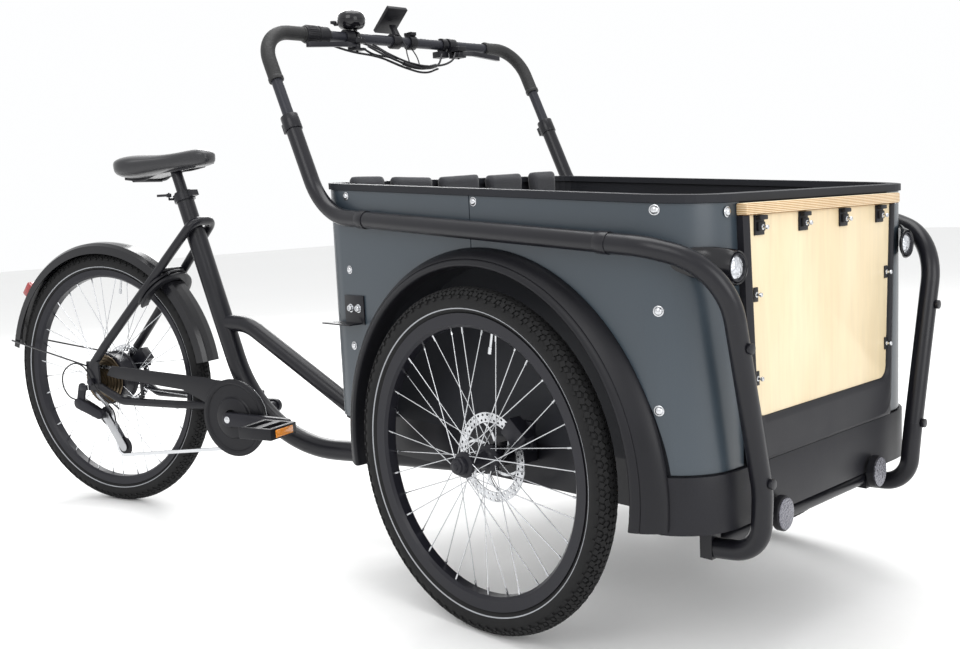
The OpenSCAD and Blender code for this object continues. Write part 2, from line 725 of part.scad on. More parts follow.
guard_disc_r = 92;
module chain_guard() {
    y0 = -63;
    behind() color(BLACK) {
        translate([0, y0, 0]) rotate([90, 0, 0]) linear_extrude(3) difference() {
            union() {
                translate(bb) circle(r = guard_disc_r, $fn = 96);
                polygon([[-1238, 347], [-1218, 372], [-1056, 362], [-905, 354], [-850, 346], [-880, 200],
                         [-905, 290], [-980, 320], [-1204, 340]]);
            }
            translate(bb) circle(r = 20, $fn = 48);
        }
        translate([0, -59.9, 0]) rotate([90, 0, 0]) linear_extrude(3) difference() {
            translate(bb) circle(r = guard_disc_r, $fn = 96);
            translate(bb) circle(r = guard_disc_r - 4, $fn = 96);
        }
        translate([-1130, -59.8, 298]) cube([10, 4, 50]);
        translate([-1132, -64, 291.5]) cube([14, 8, 6]);
    }
}

post_r = 13.6;
module seat_post() {
    top = seat_clamp + seat_dir * 74;
    behind() color(BLACK) {
        rod(seat_clamp - seat_dir * 66, top, post_r, 48);
        translate(top) {
            translate([-22, -12, -4]) cube([44, 24, 16]);
            pair() bent_tube([[-104, -38, 2], [-60, -22, 8], [60, -22, 14], [112, -12, 10]], [0, 60, 60, 0], 7, 0);
        }
    }
}

saddle_z = 868;
module saddle() {
    behind() color(RUBBER) translate([0, 0, saddle_z]) {
        hull() {
            translate([-907, 0, 10]) sphere(r = 18, $fn = 20);
            pair() translate([-1000, -38, 22]) sphere(r = 16, $fn = 20);
        }
        hull() {
            pair() translate([-1000, -38, 22]) sphere(r = 15.5, $fn = 20);
            pair() translate([-1124, -84, 4]) sphere(r = 21, $fn = 20);
            pair() translate([-1080, -78, 16]) sphere(r = 17, $fn = 20);
        }
    }
}

// Cam lever of the seat clamp, lying back along the clamp.
clamp_lever_at = seat_clamp + [-27, -24, 2];
module clamp_lever() {
    behind() color(BLACK) translate(clamp_lever_at) difference() {
        union() {
            cylinder(h = 9, r = 6, $fn = 32);
            translate([-36, -4, 2]) cube([34, 5, 6]);
        }
        translate([0, 0, -1]) cylinder(h = 12, r = 2, $fn = 24);
    }
}

// The lock stands across the rear wheel, its open side towards the axle.
module lock_frame() {
    translate([rear_axle[0], 0, rear_axle[1]]) rotate([0, -lock_angle, 0]) translate([305, 0, 0])
        children();
}

module ring_lock() {
    behind() color(BLACK) lock_frame() rotate([0, 0, -118]) rotate_extrude(angle = 236, $fn = 96) difference() {
        translate([lock_r - 8, -9]) square([20, 18]);
        translate([lock_r, 0]) circle(r = 5.6, $fn = 32);
        translate([lock_r, -2.2]) square([20, 4.4]);
    }
}

module lock_shackle() {
    behind() color(STEEL) lock_frame() {
        rotate([0, 0, -28]) rotate_extrude(angle = 140, $fn = 96) translate([lock_r, 0]) circle(r = 4.25, $fn = 32);
        rotate([0, 0, -24]) translate([lock_r, -3, -1.8]) cube([22, 6, 3.6]);
    }
}

fender_in = 344;
module rear_fender() {
    behind() color(BLACK) {
        translate([rear_axle[0], 0, rear_axle[1]]) rotate([0, -9, 0]) rotate([-90, 0, 0]) rotate([0, 0, -158])
            rotate_extrude(angle = 158, $fn = 128) polygon([[fender_in - 16, -31], [fender_in + 4, -29],
                [fender_in + 11, -20], [fender_in + 13, 0], [fender_in + 11, 20], [fender_in + 4, 29],
                [fender_in - 16, 31], [fender_in - 16, 29], [fender_in + 2, 27], [fender_in + 9, 18.5],
                [fender_in + 11, 0], [fender_in + 9, -18.5], [fender_in + 2, -27], [fender_in - 16, -29]]);
        pair() rod([-1296, -77.2, 372], [-1625, -33.5, 424], 2.2, 16);
    }
}

module tail_light() {
    behind() color("#a01818") translate([rear_axle[0], 0, rear_axle[1]]) rotate([0, -141, 0])
        translate([fender_in + 14, -13, -20]) cube([22, 26, 40]);
}

// ---------- drive ----------

module on_chain_line() { translate([0, chain_y, 0]) children(); }

// Tangent from wheel a to wheel b; side is 1 where the chain runs anticlockwise.
function travel(a, ra, b, rb) = let (d = b - a) atan2(d[1], d[0]) - asin((rb - ra) / norm(d));
function leave(c, r, dir) = [c[0] + r * sin(dir), c[1] - r * cos(dir)];

wheels_at = [bb, rear_axle, guide_at, tension_at];
wheels_r = [ring_pitch_r, cog_pitch_r, -pulley_r, pulley_r];
travels = [for (i = [0 : 3]) travel(wheels_at[i], wheels_r[i], wheels_at[(i + 1) % 4], wheels_r[(i + 1) % 4])];
function swing(i) = let (t = travels[i] - travels[(i + 3) % 4], s = wheels_r[i] > 0 ? 1 : -1,
    m = t - 360 * floor(t / 360)) s > 0 ? m : m - 360;
function chain_path(shift) = [for (i = [0 : 3]) let (a0 = travels[(i + 3) % 4], n = 10)
    for (k = [0 : n]) let (a = a0 + swing(i) * k / n) leave(wheels_at[i], wheels_r[i] + shift, a)];

module chain() {
    m = len(chain_path(0));
    behind() color(STEEL) for (y = [chain_y - 3, chain_y + 2])
        translate([0, y + 1, 0]) rotate([90, 0, 0]) linear_extrude(1)
            polygon(concat(chain_path(4), chain_path(-4)), [[for (i = [0 : m - 1]) i], [for (i = [m : 2 * m - 1]) i]]);
}

module crank_set() {
    behind() color(BLACK) translate([bb[0], 0, bb[1]]) {
        across(-80, 80, 12, 48);
        across(-62.4, -35, 19, 48);
        difference() {
            across(chain_y - 0.9, chain_y + 0.9, ring_pitch_r + 3, 96);
            across(-100, 100, 15, 48);
            for (a = [36 : 72 : 324]) rotate([0, a, 0]) translate([44, 0, 0]) across(-60, 0, 15, 32);
        }
        for (s = [1, -1]) mirror([0, s > 0 ? 0 : 1, 0]) difference() {
            hull() {
                across(-94, -80, 17, 32);
                translate([s * crank_length, 0, 0]) across(-94, -80, 12, 32);
            }
            translate([s * crank_length, 0, 0]) across(-100, 100, 7, 32);
        }
    }
}

// Drawn round its own spindle, with the body outboard towards -Y.
module pedal() {
    difference() {
        across(-206, -80.5, 6.95, 32);
        translate([-20, -300, -20]) cube([40, 100, 40]);
    }
    across(-108, -95, 9, 32);
    difference() {
        translate([-46, -200, -13]) cube([92, 90, 26]);
        translate([-34, -190, -20]) cube([24, 70, 40]);
        translate([10, -190, -20]) cube([24, 70, 40]);
    }
}
module pedal_right() {
    behind() color(BLACK) translate([bb[0] + crank_length, 0, bb[1]]) pedal();
}
module pedal_left() {
    behind() color(BLACK) translate([bb[0] - crank_length, 0, bb[1]]) mirror([0, 1, 0]) pedal();
}

cage_y = [chain_y - 7, chain_y + 5];
module derailleur() {
    behind() color(DARK) {
        for (y = cage_y) hull() {
            translate([guide_at[0], 0, guide_at[1]]) across(y, y + 2, 12, 32);
            translate([tension_at[0], 0, tension_at[1]]) across(y, y + 2, 12, 32);
        }
        for (p = [guide_at, tension_at]) translate([p[0], 0, p[1]]) across(cage_y[0] + 2, cage_y[1], 3, 24);
        hull() {
            translate([guide_at[0] - 8, 0, guide_at[1] + 6]) across(-70, -54.2, 12, 32);
            translate([-1338, 0, 270]) across(-78, -58, 14, 32);
        }
        hull() {
            translate([-1338, 0, 270]) across(-72, -66, 12, 32);
            translate([-1326, 0, 312]) across(-72, -66, 12, 32);
        }
        translate([-1326, -78, 306]) cube([24.5, 5.8, 14]);
    }
}

module pulley() {
    difference() {
        union() {
            across(chain_y - 0.9, chain_y + 0.9, pulley_r + 2.5, 48);
            across(chain_y - 4, chain_y + 4, 9, 32);
        }
        across(-100, 0, 3.05, 24);
    }
}
module guide_pulley() { behind() color(BLACK) translate([guide_at[0], 0, guide_at[1]]) pulley(); }
module tension_pulley() { behind() color(BLACK) translate([tension_at[0], 0, tension_at[1]]) pulley(); }

// ---------- rear wheel ----------

module rear_wheel() { behind() translate([rear_axle[0], 0, rear_axle[1]]) children(); }

module tyre_rear() { rear_wheel() color(RUBBER) tyre(rear_r, rear_tyre_w, 285.5); }
module rim_rear() { rear_wheel() color(BLACK) rim(265.5, 285.5); }
module spokes_rear() { rear_wheel() color(STEEL) spokes(64, -21, 21, 266.5, 20, 2); }

module hub_motor() {
    rear_wheel() color(BLACK) {
        difference() {
            turned([[0.1, -27], [40, -27], [58, -25], [68, -24], [68, -18], [62, -16], [62, 16], [68, 18], [68, 24],
                    [58, 25], [40, 28], [30, 44], [0.1, 44]], 96);
            across(-80, 80, 12.05, 48);
        }
        difference() {
            across(-28.5, -27, 24, 48);
            across(-40, 0, 12.05, 48);
        }
        disc(50, 1.9, 22.2);
        difference() {
            across(44.1, 54, 22, 48);
            across(0, 80, 12.05, 48);
        }
    }
}

cogs = [[-55.4, 22], [-51.2, 28], [chain_y, cog_pitch_r], [-42.8, 42], [-38.6, 48], [-34.4, 56], [-31, 62]];
module cassette() {
    rear_wheel() color("#6d6353") difference() {
        union() {
            for (c = cogs) across(c[0] - 0.8, c[0] + 0.8, c[1] + 2.5, 64);
            across(-57, -30, 19, 48);
        }
        across(-90, 0, 12.05, 48);
    }
}

module rear_caliper() {
    behind() color(BLACK) {
        translate([rear_axle[0], 52, rear_axle[1]]) rotate([0, -38, 0]) translate([74, 0, 0])
            rotate([0, 90, 0]) caliper_rear();
        translate([rear_axle[0], 0, rear_axle[1]]) {
            across(-65.8, 65.8, 12, 48);
            across(-82, -72.2, 9, 32);
            across(72.2, 82, 9, 32);
        }
        translate([-1228, 62, 352]) cube([14, 5, 34]);
    }
}

module caliper_rear() {
    difference() {
        translate([-18, -13, -24]) cube([36, 26, 46]);
        translate([-40, -4, -60]) cube([80, 4, 70]);
    }
}

chassis();
tub();
side_panels_right();
side_panels_left();
back_panel();
front_board();
canopy_studs();
dome_bolts();
fender_right();
fender_left();
front_skirt();
side_tube_right();
side_tube_left();
step_bar();
tube_fittings();
headlights();
cushions();
bench();
battery();
front_calipers();
tyre_front_right();
rim_front_right();
spokes_front_right();
hub_front_right();
tyre_front_left();
rim_front_left();
spokes_front_left();
hub_front_left();
handlebar();
grips();
bar_fittings();
brake_lever_right();
brake_lever_left();
twist_shifter();
bell();
bell_lever();
display_button();
bar_cables();
rear_frame();
chain_guard();
seat_post();
saddle();
clamp_lever();
ring_lock();
lock_shackle();
rear_fender();
tail_light();
derailleur();
guide_pulley();
tension_pulley();
chain();
rear_caliper();
tyre_rear();
rim_rear();
spokes_rear();
hub_motor();
cassette();
crank_set();
pedal_right();
pedal_left();
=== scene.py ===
"""Cargo tricycle: the finished look of every part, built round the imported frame, in metres."""

import json
import math

import bmesh
import bpy
from bpy.props import FloatProperty, FloatVectorProperty, IntProperty, PointerProperty
from mathutils import Matrix, Vector


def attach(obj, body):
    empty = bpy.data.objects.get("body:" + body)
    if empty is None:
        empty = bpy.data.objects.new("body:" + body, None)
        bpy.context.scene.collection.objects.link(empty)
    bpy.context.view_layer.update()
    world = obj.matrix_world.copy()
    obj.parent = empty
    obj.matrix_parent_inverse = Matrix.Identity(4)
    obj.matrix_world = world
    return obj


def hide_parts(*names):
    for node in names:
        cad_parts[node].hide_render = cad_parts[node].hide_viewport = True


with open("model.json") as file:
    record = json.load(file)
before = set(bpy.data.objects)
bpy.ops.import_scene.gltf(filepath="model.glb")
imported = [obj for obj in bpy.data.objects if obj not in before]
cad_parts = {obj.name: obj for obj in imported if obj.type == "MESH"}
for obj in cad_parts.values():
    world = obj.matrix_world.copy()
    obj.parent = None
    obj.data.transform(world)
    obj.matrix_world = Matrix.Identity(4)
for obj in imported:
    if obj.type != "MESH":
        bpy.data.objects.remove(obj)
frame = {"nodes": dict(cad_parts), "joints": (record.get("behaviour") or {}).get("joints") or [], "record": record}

bl_info = {
    "name": "Cargo Tricycle",
    "version": (1, 0, 0),
    "blender": (4, 5, 0),
    "location": "View3D > Sidebar > Tricycle",
    "description": "Builds the finished pieces of a front-load cargo tricycle",
    "category": "Add Mesh",
}

MM = 0.001
TURN = 2 * math.pi
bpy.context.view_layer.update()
NODES = frame["nodes"]
JOINTS = {joint["name"]: joint for joint in frame["joints"]}
BODY = {node: body for body, nodes in frame["record"]["behaviour"]["bodies"].items() for node in nodes}
SLOT = {part["node"]: part["material_slot"] for part in frame["record"]["subparts"]}


def point(joint):
    """Where a joint turns, in the frame."""
    return Vector(JOINTS[joint]["pos_m"])


def ground(place):
    """A place on the ground below a point."""
    return Matrix.Translation((place.x, place.y, 0))


# FRONT starts on the ground between the front wheels, and REAR below the steering pin, along the rear frame.
AXLE = Vector(JOINTS["rear_spin"]["axis"])
REAR_TURN = Matrix.Rotation(math.atan2(-AXLE.x, AXLE.y), 4, "Z")
MIRROR = Matrix.Scale(-1, 4, (0, 1, 0))
FRONT = ground((point("front_right_spin") + point("front_left_spin")) / 2)
FRONT_LEFT = FRONT @ MIRROR
REAR = ground(point("steer")) @ REAR_TURN
HUB_RIGHT = Matrix.Translation(point("front_right_spin"))
HUB_LEFT = Matrix.Translation(point("front_left_spin")) @ MIRROR
HUB_REAR = Matrix.Translation(point("rear_spin")) @ REAR_TURN
SIDES = {"right": FRONT, "left": FRONT_LEFT}


# ---------- what a user may change ----------

def tint(name, default, about):
    """A colour that can be picked in the panel."""
    return FloatVectorProperty(name=name, description=about, default=default, size=3, min=0, max=1,
                               subtype="COLOR")


def length(name, default, about):
    """A length that can be set in the panel."""
    return FloatProperty(name=name, description=about, default=default, min=0, unit="LENGTH",
                         subtype="DISTANCE")


class TrikeColours(bpy.types.PropertyGroup):
    """Colours of the tricycle's finishes"""
    panel: tint("Panels", (0.030, 0.043, 0.056), "Lacquer of the box's side panels")
    # The blue cast of this near-black is painted reflection of a bluish sky over the coat's own black; it carries
    # into black_steel and alloy_black.
    steel_black: tint("Frame", (0.0075, 0.0075, 0.0105), "Satin powder coat of the tubes")
    gunmetal: tint("Handlebar", (0.022, 0.023, 0.030), "Coat of the handlebar legs")
    # The blue cast of this near-black is painted reflection of a bluish sky over the plastic's own black; it
    # carries into every finish made from it.
    plastic: tint("Plastic", (0.0080, 0.0080, 0.0105), "Moulded arches, skirt and guards")
    liner: tint("Liner", (0.013, 0.014, 0.018), "Board inside the box")
    birch: tint("Birch", (0.76, 0.645, 0.44), "Face of the plywood front")
    ply: tint("Ply edge", (0.52, 0.30, 0.12), "Dark glue lines on a plywood edge")
    rubber: tint("Rubber", (0.0075, 0.0075, 0.0080), "Tyres and grips")
    bright: tint("Bright metal", (0.60, 0.61, 0.63), "Spokes, bolts and rotors")
    bronze: tint("Cassette", (0.15, 0.115, 0.075), "Plated sprockets")
    fabric: tint("Cushions", (0.030, 0.031, 0.036), "Woven cushion fabric")
    amber: tint("Pedal reflectors", (0.95, 0.30, 0.02), "Prismatic amber plastic")
    red: tint("Tail light", (0.34, 0.010, 0.010), "Lens of the tail light")


class TrikeSizes(bpy.types.PropertyGroup):
    """Sizes of the finer details"""
    tread_height: length("Tread height", 0.0026, "Height of the tyre's lugs")
    front_pitches: IntProperty(name="Front tread pitches", description="Rows of lugs round a front tyre",
                               default=84, min=40, max=120)
    rear_pitches: IntProperty(name="Rear tread pitches", description="Rows of lugs round the rear tyre",
                              default=92, min=40, max=120)
    rotor_holes: IntProperty(name="Rotor holes", description="Holes in each of a rotor's two rings",
                             default=40, min=20, max=60)
    edge: length("Edge radius", 0.0009, "Rounding of the hard edges of metal and plastic parts")
    cable: length("Cable radius", 0.0024, "Radius of the outer casing of a cable")
    puff: length("Cushion rise", 0.012, "How far a cushion's cover may swell")


# ---------- materials ----------

FINISHES = {}


def add(tree, kind, inputs=None, **settings):
    """Adds a node; an input is a value or the socket that feeds it."""
    node = tree.nodes.new(kind)
    for key, value in settings.items():
        setattr(node, key, value)
    for key, value in (inputs or {}).items():
        if isinstance(value, bpy.types.NodeSocket):
            tree.links.new(value, node.inputs[key])
        else:
            node.inputs[key].default_value = value
    return node


def ramp(tree, factor, stops):
    """Turns a factor into a colour through its stops."""
    node = add(tree, "ShaderNodeValToRGB", {"Fac": factor})
    while len(node.color_ramp.elements) < len(stops):
        node.color_ramp.elements.new(0.5)
    for element, (place, colour) in zip(node.color_ramp.elements, stops):
        element.position = place
        element.color = (*colour, 1)
    return node.outputs["Color"]


def noise(tree, place, scale, detail=4, rough=0.55):
    """The socket of a noise pattern."""
    return add(tree, "ShaderNodeTexNoise", {"Vector": place, "Scale": scale, "Detail": detail,
                                            "Roughness": rough}).outputs[0]


def between(tree, value, low, high):
    """Spreads the middle of a pattern between two values."""
    return add(tree, "ShaderNodeMapRange", {"Value": value, "From Min": 0.25, "From Max": 0.75,
                                            "To Min": low, "To Max": high}).outputs[0]


def shade(colour, factor):
    """A darker or lighter tone of a colour."""
    return tuple(min(1.0, part * factor) for part in colour)


def blank(name, sockets):
    """A new material with its shader, and where its patterns are measured from."""
    material = bpy.data.materials.new(name)
    material.use_nodes = True
    tree = material.node_tree
    shader = tree.nodes["Principled BSDF"]
    for key, value in sockets.items():
        shader.inputs[key].default_value = value
    FINISHES[name] = material
    return tree, shader, add(tree, "ShaderNodeTexCoord").outputs["Object"]


def stretched(tree, place, scale):
    """The place with its pattern stretched along the axes."""
    return add(tree, "ShaderNodeMapping", {"Vector": place, "Scale": scale}).outputs[0]


def relief(tree, shader, height, strength, depth):
    """Raises a pattern out of the surface."""
    bump = add(tree, "ShaderNodeBump", {"Height": height, "Strength": strength, "Distance": depth})
    tree.links.new(bump.outputs[0], shader.inputs["Normal"])


def surface(name, colour, rough, spread=0.25, blotch=14, grain=900, depth=0.00005, strength=0.35,
            stretch=(1, 1, 1), **sockets):
    """A finish with soft patches of tone and gloss, and a fine grain."""
    tree, shader, place = blank(name, sockets)
    patches = noise(tree, place, blotch)
    fine = noise(tree, stretched(tree, place, stretch), grain, 3, 0.6)
    both = add(tree, "ShaderNodeMath", {0: patches, 1: fine, 2: 0.22}, operation="MULTIPLY_ADD")
    tones = [(0.25, shade(colour, 1 - spread)), (0.75, shade(colour, 1 + spread))]
    tree.links.new(ramp(tree, both.outputs[0], tones), shader.inputs["Base Color"])
    tree.links.new(between(tree, patches, *rough), shader.inputs["Roughness"])
    relief(tree, shader, fine, strength, depth)


def plywood(name, colour, glue, edge):
    """Birch with long soft figure; on an edge, its glued layers."""
    tree, shader, place = blank(name, {"Coat Weight": 0.25, "Coat Roughness": 0.25})
    long_grain = noise(tree, stretched(tree, place, (2, 2, 0.16)), 55, 6, 0.6)
    figure = noise(tree, stretched(tree, place, (1, 1, 0.35)), 9, 3)
    tone = ramp(tree, long_grain, [(0.25, shade(colour, 0.92)), (0.55, colour), (0.8, shade(colour, 1.05))])
    soft = ramp(tree, figure, [(0.3, (0.90, 0.86, 0.80)), (0.7, (1.0, 1.0, 1.0))])
    mixed = add(tree, "ShaderNodeMix", {0: 1.0, 6: tone, 7: soft}, data_type="RGBA", blend_type="MULTIPLY")
    colour_out = mixed.outputs[2]
    if edge:
        layers = add(tree, "ShaderNodeTexWave", {"Vector": place, "Scale": 120, "Distortion": 0.6,
                                                 "Detail Scale": 3}, bands_direction="Z")
        lines = ramp(tree, layers.outputs["Fac"], [(0.35, glue), (0.6, (1, 1, 1))])
        mixed = add(tree, "ShaderNodeMix", {0: 1.0, 6: colour_out, 7: lines}, data_type="RGBA",
                    blend_type="MULTIPLY")
        colour_out = mixed.outputs[2]
    tree.links.new(colour_out, shader.inputs["Base Color"])
    tree.links.new(between(tree, long_grain, 0.34, 0.5), shader.inputs["Roughness"])
    relief(tree, shader, long_grain, 0.25, 0.0001)


def woven(name, colour, threads):
    """Cloth: two crossing sets of threads with flecks of a lighter yarn."""
    tree, shader, place = blank(name, {"Sheen Weight": 0.35, "Sheen Roughness": 0.4})
    sets = [add(tree, "ShaderNodeTexWave", {"Vector": place, "Scale": threads, "Distortion": 0.4},
                bands_direction=way).outputs["Fac"] for way in ("Y", "Z")]
    cloth = add(tree, "ShaderNodeMath", {0: sets[0], 1: sets[1]}, operation="MULTIPLY").outputs[0]
    flecks = noise(tree, place, 420, 2)
    total = add(tree, "ShaderNodeMath", {0: cloth, 1: flecks}, operation="ADD").outputs[0]
    tree.links.new(ramp(tree, total, [(0.3, shade(colour, 0.6)), (0.75, colour), (1.0, shade(colour, 1.9))]),
                   shader.inputs["Base Color"])
    tree.links.new(between(tree, flecks, 0.8, 0.95), shader.inputs["Roughness"])
    relief(tree, shader, cloth, 0.6, 0.0004)


def cells(name, colour, scale, rough, depth, **sockets):
    """A finish broken into small cells, as leather grain or the prisms of a reflector."""
    tree, shader, place = blank(name, sockets)
    cell = add(tree, "ShaderNodeTexVoronoi", {"Vector": place, "Scale": scale}, feature="F1")
    patches = noise(tree, place, 20)
    tones = [(0.0, shade(colour, 1.25)), (0.6, shade(colour, 0.75))]
    tree.links.new(ramp(tree, cell.outputs["Distance"], tones), shader.inputs["Base Color"])
    tree.links.new(between(tree, patches, *rough), shader.inputs["Roughness"])
    relief(tree, shader, cell.outputs["Distance"], 0.5, depth)


def make_finishes(c):
    """Every finish, from the chosen colours."""
    dull = {"Specular IOR Level": 0.26}
    surface("panel_paint", c.panel, (0.30, 0.42), 0.12, 3, 500, 0.00002, 0.2,
            **{"Coat Weight": 0.30, "Coat Roughness": 0.22})
    surface("black_steel", c.steel_black, (0.26, 0.36), 0.2, 10, 1400, 0.00003, 0.3,
            **{"Specular IOR Level": 0.34})
    surface("gunmetal", c.gunmetal, (0.34, 0.46), 0.15, 8, 1200, 0.00003, 0.3, **dull)
    surface("black_plastic", c.plastic, (0.36, 0.5), 0.25, 9, 700, 0.0001, 0.45, **dull)
    surface("skirt_plastic", shade(c.plastic, 1.3), (0.38, 0.54), 0.3, 7, 420, 0.00015, 0.5, **dull)
    surface("liner", c.liner, (0.5, 0.66), 0.3, 6, 500, 0.0002, 0.5, **dull)
    surface("gloss_black", shade(c.plastic, 0.8), (0.14, 0.22), 0.2, 12, 300, 0.00002, 0.1,
            **{"Specular IOR Level": 0.45})
    surface("steel", c.bright, (0.16, 0.30), 0.12, 30, 900, 0.00002, 0.3, (1, 1, 8), Metallic=1.0)
    surface("alloy_black", shade(c.steel_black, 1.5), (0.28, 0.40), 0.2, 25, 900, 0.00003, 0.3, **dull)
    surface("alloy", shade(c.bright, 0.7), (0.28, 0.42), 0.1, 25, 700, 0.00003, 0.4, (6, 1, 1), Metallic=1.0)
    surface("tyre_rubber", c.rubber, (0.62, 0.8), 0.35, 18, 1100, 0.0001, 0.6, **dull)
    surface("reflex", (0.30, 0.31, 0.33), (0.25, 0.4), 0.25, 40, 2200, 0.00005, 0.5)
    surface("bronze", c.bronze, (0.3, 0.45), 0.35, 40, 800, 0.00003, 0.4, Metallic=0.9)
    surface("screen", (0.006, 0.007, 0.009), (0.05, 0.09), 0.2, 30, 200, 0.00001, 0.1,
            **{"Coat Weight": 1.0})
    cells("lens", (0.62, 0.64, 0.68), 190, (0.05, 0.12), 0.003, **{"Coat Weight": 1.0, "Metallic": 0.7})
    plywood("birch", c.birch, c.ply, False)
    plywood("ply_edge", c.birch, c.ply, True)
    woven("cushion_fabric", c.fabric, 300)
    cells("saddle_cover", shade(c.plastic, 1.2), 900, (0.30, 0.42), 0.00012,
          **{"Sheen Weight": 0.15, "Coat Weight": 0.2, "Coat Roughness": 0.3})
    cells("grip_rubber", shade(c.rubber, 1.3), 260, (0.5, 0.68), 0.0010)
    cells("prism", (0.20, 0.20, 0.23), 300, (0.12, 0.2), 0.002, **{"Metallic": 0.8})
    cells("amber", c.amber, 500, (0.12, 0.2), 0.001, **{"Coat Weight": 1.0})
    cells("red_lens", c.red, 380, (0.08, 0.16), 0.001, **{"Coat Weight": 1.0})


# ---------- mesh helpers ----------

def piece(bm, name, finishes, body, place=None, stands_for=(), slot=None, smooth=38, paint=None):
    """Puts a finished mesh in place on its body, with its finishes; paint gives each face its finish."""
    bmesh.ops.remove_doubles(bm, verts=bm.verts, dist=1e-6)
    if paint:
        for face in bm.faces:
            face.material_index = paint(face.calc_center_median())
    if place is not None:
        bmesh.ops.transform(bm, matrix=place, verts=bm.verts)
    bmesh.ops.recalc_face_normals(bm, faces=bm.faces)
    mesh = bpy.data.meshes.new(name)
    bm.to_mesh(mesh)
    bm.free()
    return dress(bpy.data.objects.new(name, mesh), finishes, body, stands_for, slot, smooth)


def dress(obj, finishes, body, stands_for=(), slot=None, smooth=38):
    """Gives an object its finishes and shading, and puts it on its body."""
    if obj.name not in bpy.context.scene.collection.objects:
        bpy.context.scene.collection.objects.link(obj)
    for name in ("custom_normal", "sharp_face"):
        if obj.type == "MESH" and name in obj.data.attributes:
            obj.data.attributes.remove(obj.data.attributes[name])
    for finish in finishes:
        obj.data.materials.append(FINISHES[finish])
    if obj.type == "MESH":
        obj.data.shade_smooth()
        obj.data.set_sharp_from_angle(angle=math.radians(smooth))
    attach(obj, body)
    if stands_for:
        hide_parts(*stands_for)
        slot = slot or SLOT[stands_for[0]]
    return obj


def lathe(bm, outline, steps, closed):
    """Turns an outline of (radius, y) about the Y axis."""
    verts = [bm.verts.new((r, y, 0)) for r, y in outline]
    ring = verts + verts[:1] if closed else verts
    edges = [bm.edges.new(pair) for pair in zip(ring, ring[1:])]
    bmesh.ops.spin(bm, geom=verts + edges, cent=(0, 0, 0), axis=(0, 1, 0), dvec=(0, 0, 0),
                   angle=TURN, steps=steps, use_merge=True)


def turned(outline, steps, place=None, closed=False):
    """A separate mesh turned from an outline in millimetres, set in place."""
    bm = bmesh.new()
    lathe(bm, [(r * MM, y * MM) for r, y in outline], steps, closed)
    bmesh.ops.remove_doubles(bm, verts=bm.verts, dist=1e-7)
    if place is not None:
        bmesh.ops.transform(bm, matrix=place, verts=bm.verts)
    return bm


def join(bm, other):
    """Adds another mesh to bm."""
    mesh = bpy.data.meshes.new("joining")
    other.to_mesh(mesh)
    other.free()
    bm.from_mesh(mesh)
    bpy.data.meshes.remove(mesh)


def facing(start, direction):
    """A place whose Y axis looks along direction."""
    turn = Vector(direction).to_track_quat("Y", "Z").to_matrix().to_4x4()
    return Matrix.Translation(start) @ turn


def repeat(bm, geom, count):
    """Copies geom round the Y axis until it stands count times."""
    bmesh.ops.spin(bm, geom=geom, cent=(0, 0, 0), axis=(0, 1, 0), dvec=(0, 0, 0), steps=count - 1,
                   angle=TURN * (count - 1) / count, use_duplicate=True)


def everything(bm):
    """All that a mesh holds."""
    return bm.verts[:] + bm.edges[:] + bm.faces[:]


def block(bm, size, place, edge=0.0, segments=2):
    """A box of that size with rounded edges, set in place."""
    made = bmesh.ops.create_cube(bm, size=1, matrix=place @ Matrix.Diagonal((*size, 1)))["verts"]
    if edge:
        edges = {e for v in made for e in v.link_edges}
        bmesh.ops.bevel(bm, geom=list(edges), offset=edge, segments=segments, profile=0.5, affect="EDGES",
                        material=-1, clamp_overlap=True)


def rod(bm, a, b, radius, sides):
    """A round bar from a to b."""
    a, b = Vector(a), Vector(b)
    turn = (b - a).to_track_quat("Z", "Y").to_matrix().to_4x4()
    bmesh.ops.create_cone(bm, cap_ends=True, segments=sides, radius1=radius, radius2=radius,
                          depth=(b - a).length, matrix=Matrix.Translation((a + b) / 2) @ turn)


def loft(bm, across, along, shape):
    """A grid of faces whose points are shape(u, v), both from 0 to 1."""
    made = bmesh.ops.create_grid(bm, x_segments=across, y_segments=along, size=1)["verts"]
    for v in made:
        v.co = shape(v.co.x / 2 + 0.5, v.co.y / 2 + 0.5)
    bmesh.ops.remove_doubles(bm, verts=made, dist=1e-6)


def plate(bm, outline, y0, y1, edge):
    """An outline of (x, z) made a plate from y0 to y1, with its rims rounded."""
    start = len(bm.verts)
    face = bm.faces.new([bm.verts.new((x, y0, z)) for x, z in outline])
    made = bmesh.ops.extrude_face_region(bm, geom=[face])["geom"]
    moved = [g for g in made if isinstance(g, bmesh.types.BMVert)]
    bmesh.ops.translate(bm, vec=(0, y1 - y0, 0), verts=moved)
    bm.verts.ensure_lookup_table()
    verts = set(bm.verts[start:])
    faces = {f for v in verts for f in v.link_faces}
    bmesh.ops.recalc_face_normals(bm, faces=list(faces))
    rims = [e for e in {e for v in verts for e in v.link_edges}
            if abs(e.verts[0].co.y - e.verts[1].co.y) < 1e-6]
    bmesh.ops.bevel(bm, geom=rims, offset=edge, segments=2, profile=0.5, affect="EDGES",
                    material=-1, clamp_overlap=True)


def arc(x, z, radius, start, stop, count):
    """Points on an arc, with its angles in degrees."""
    angles = [math.radians(start + (stop - start) * i / count) for i in range(count + 1)]
    return [(x + radius * math.cos(a), z + radius * math.sin(a)) for a in angles]


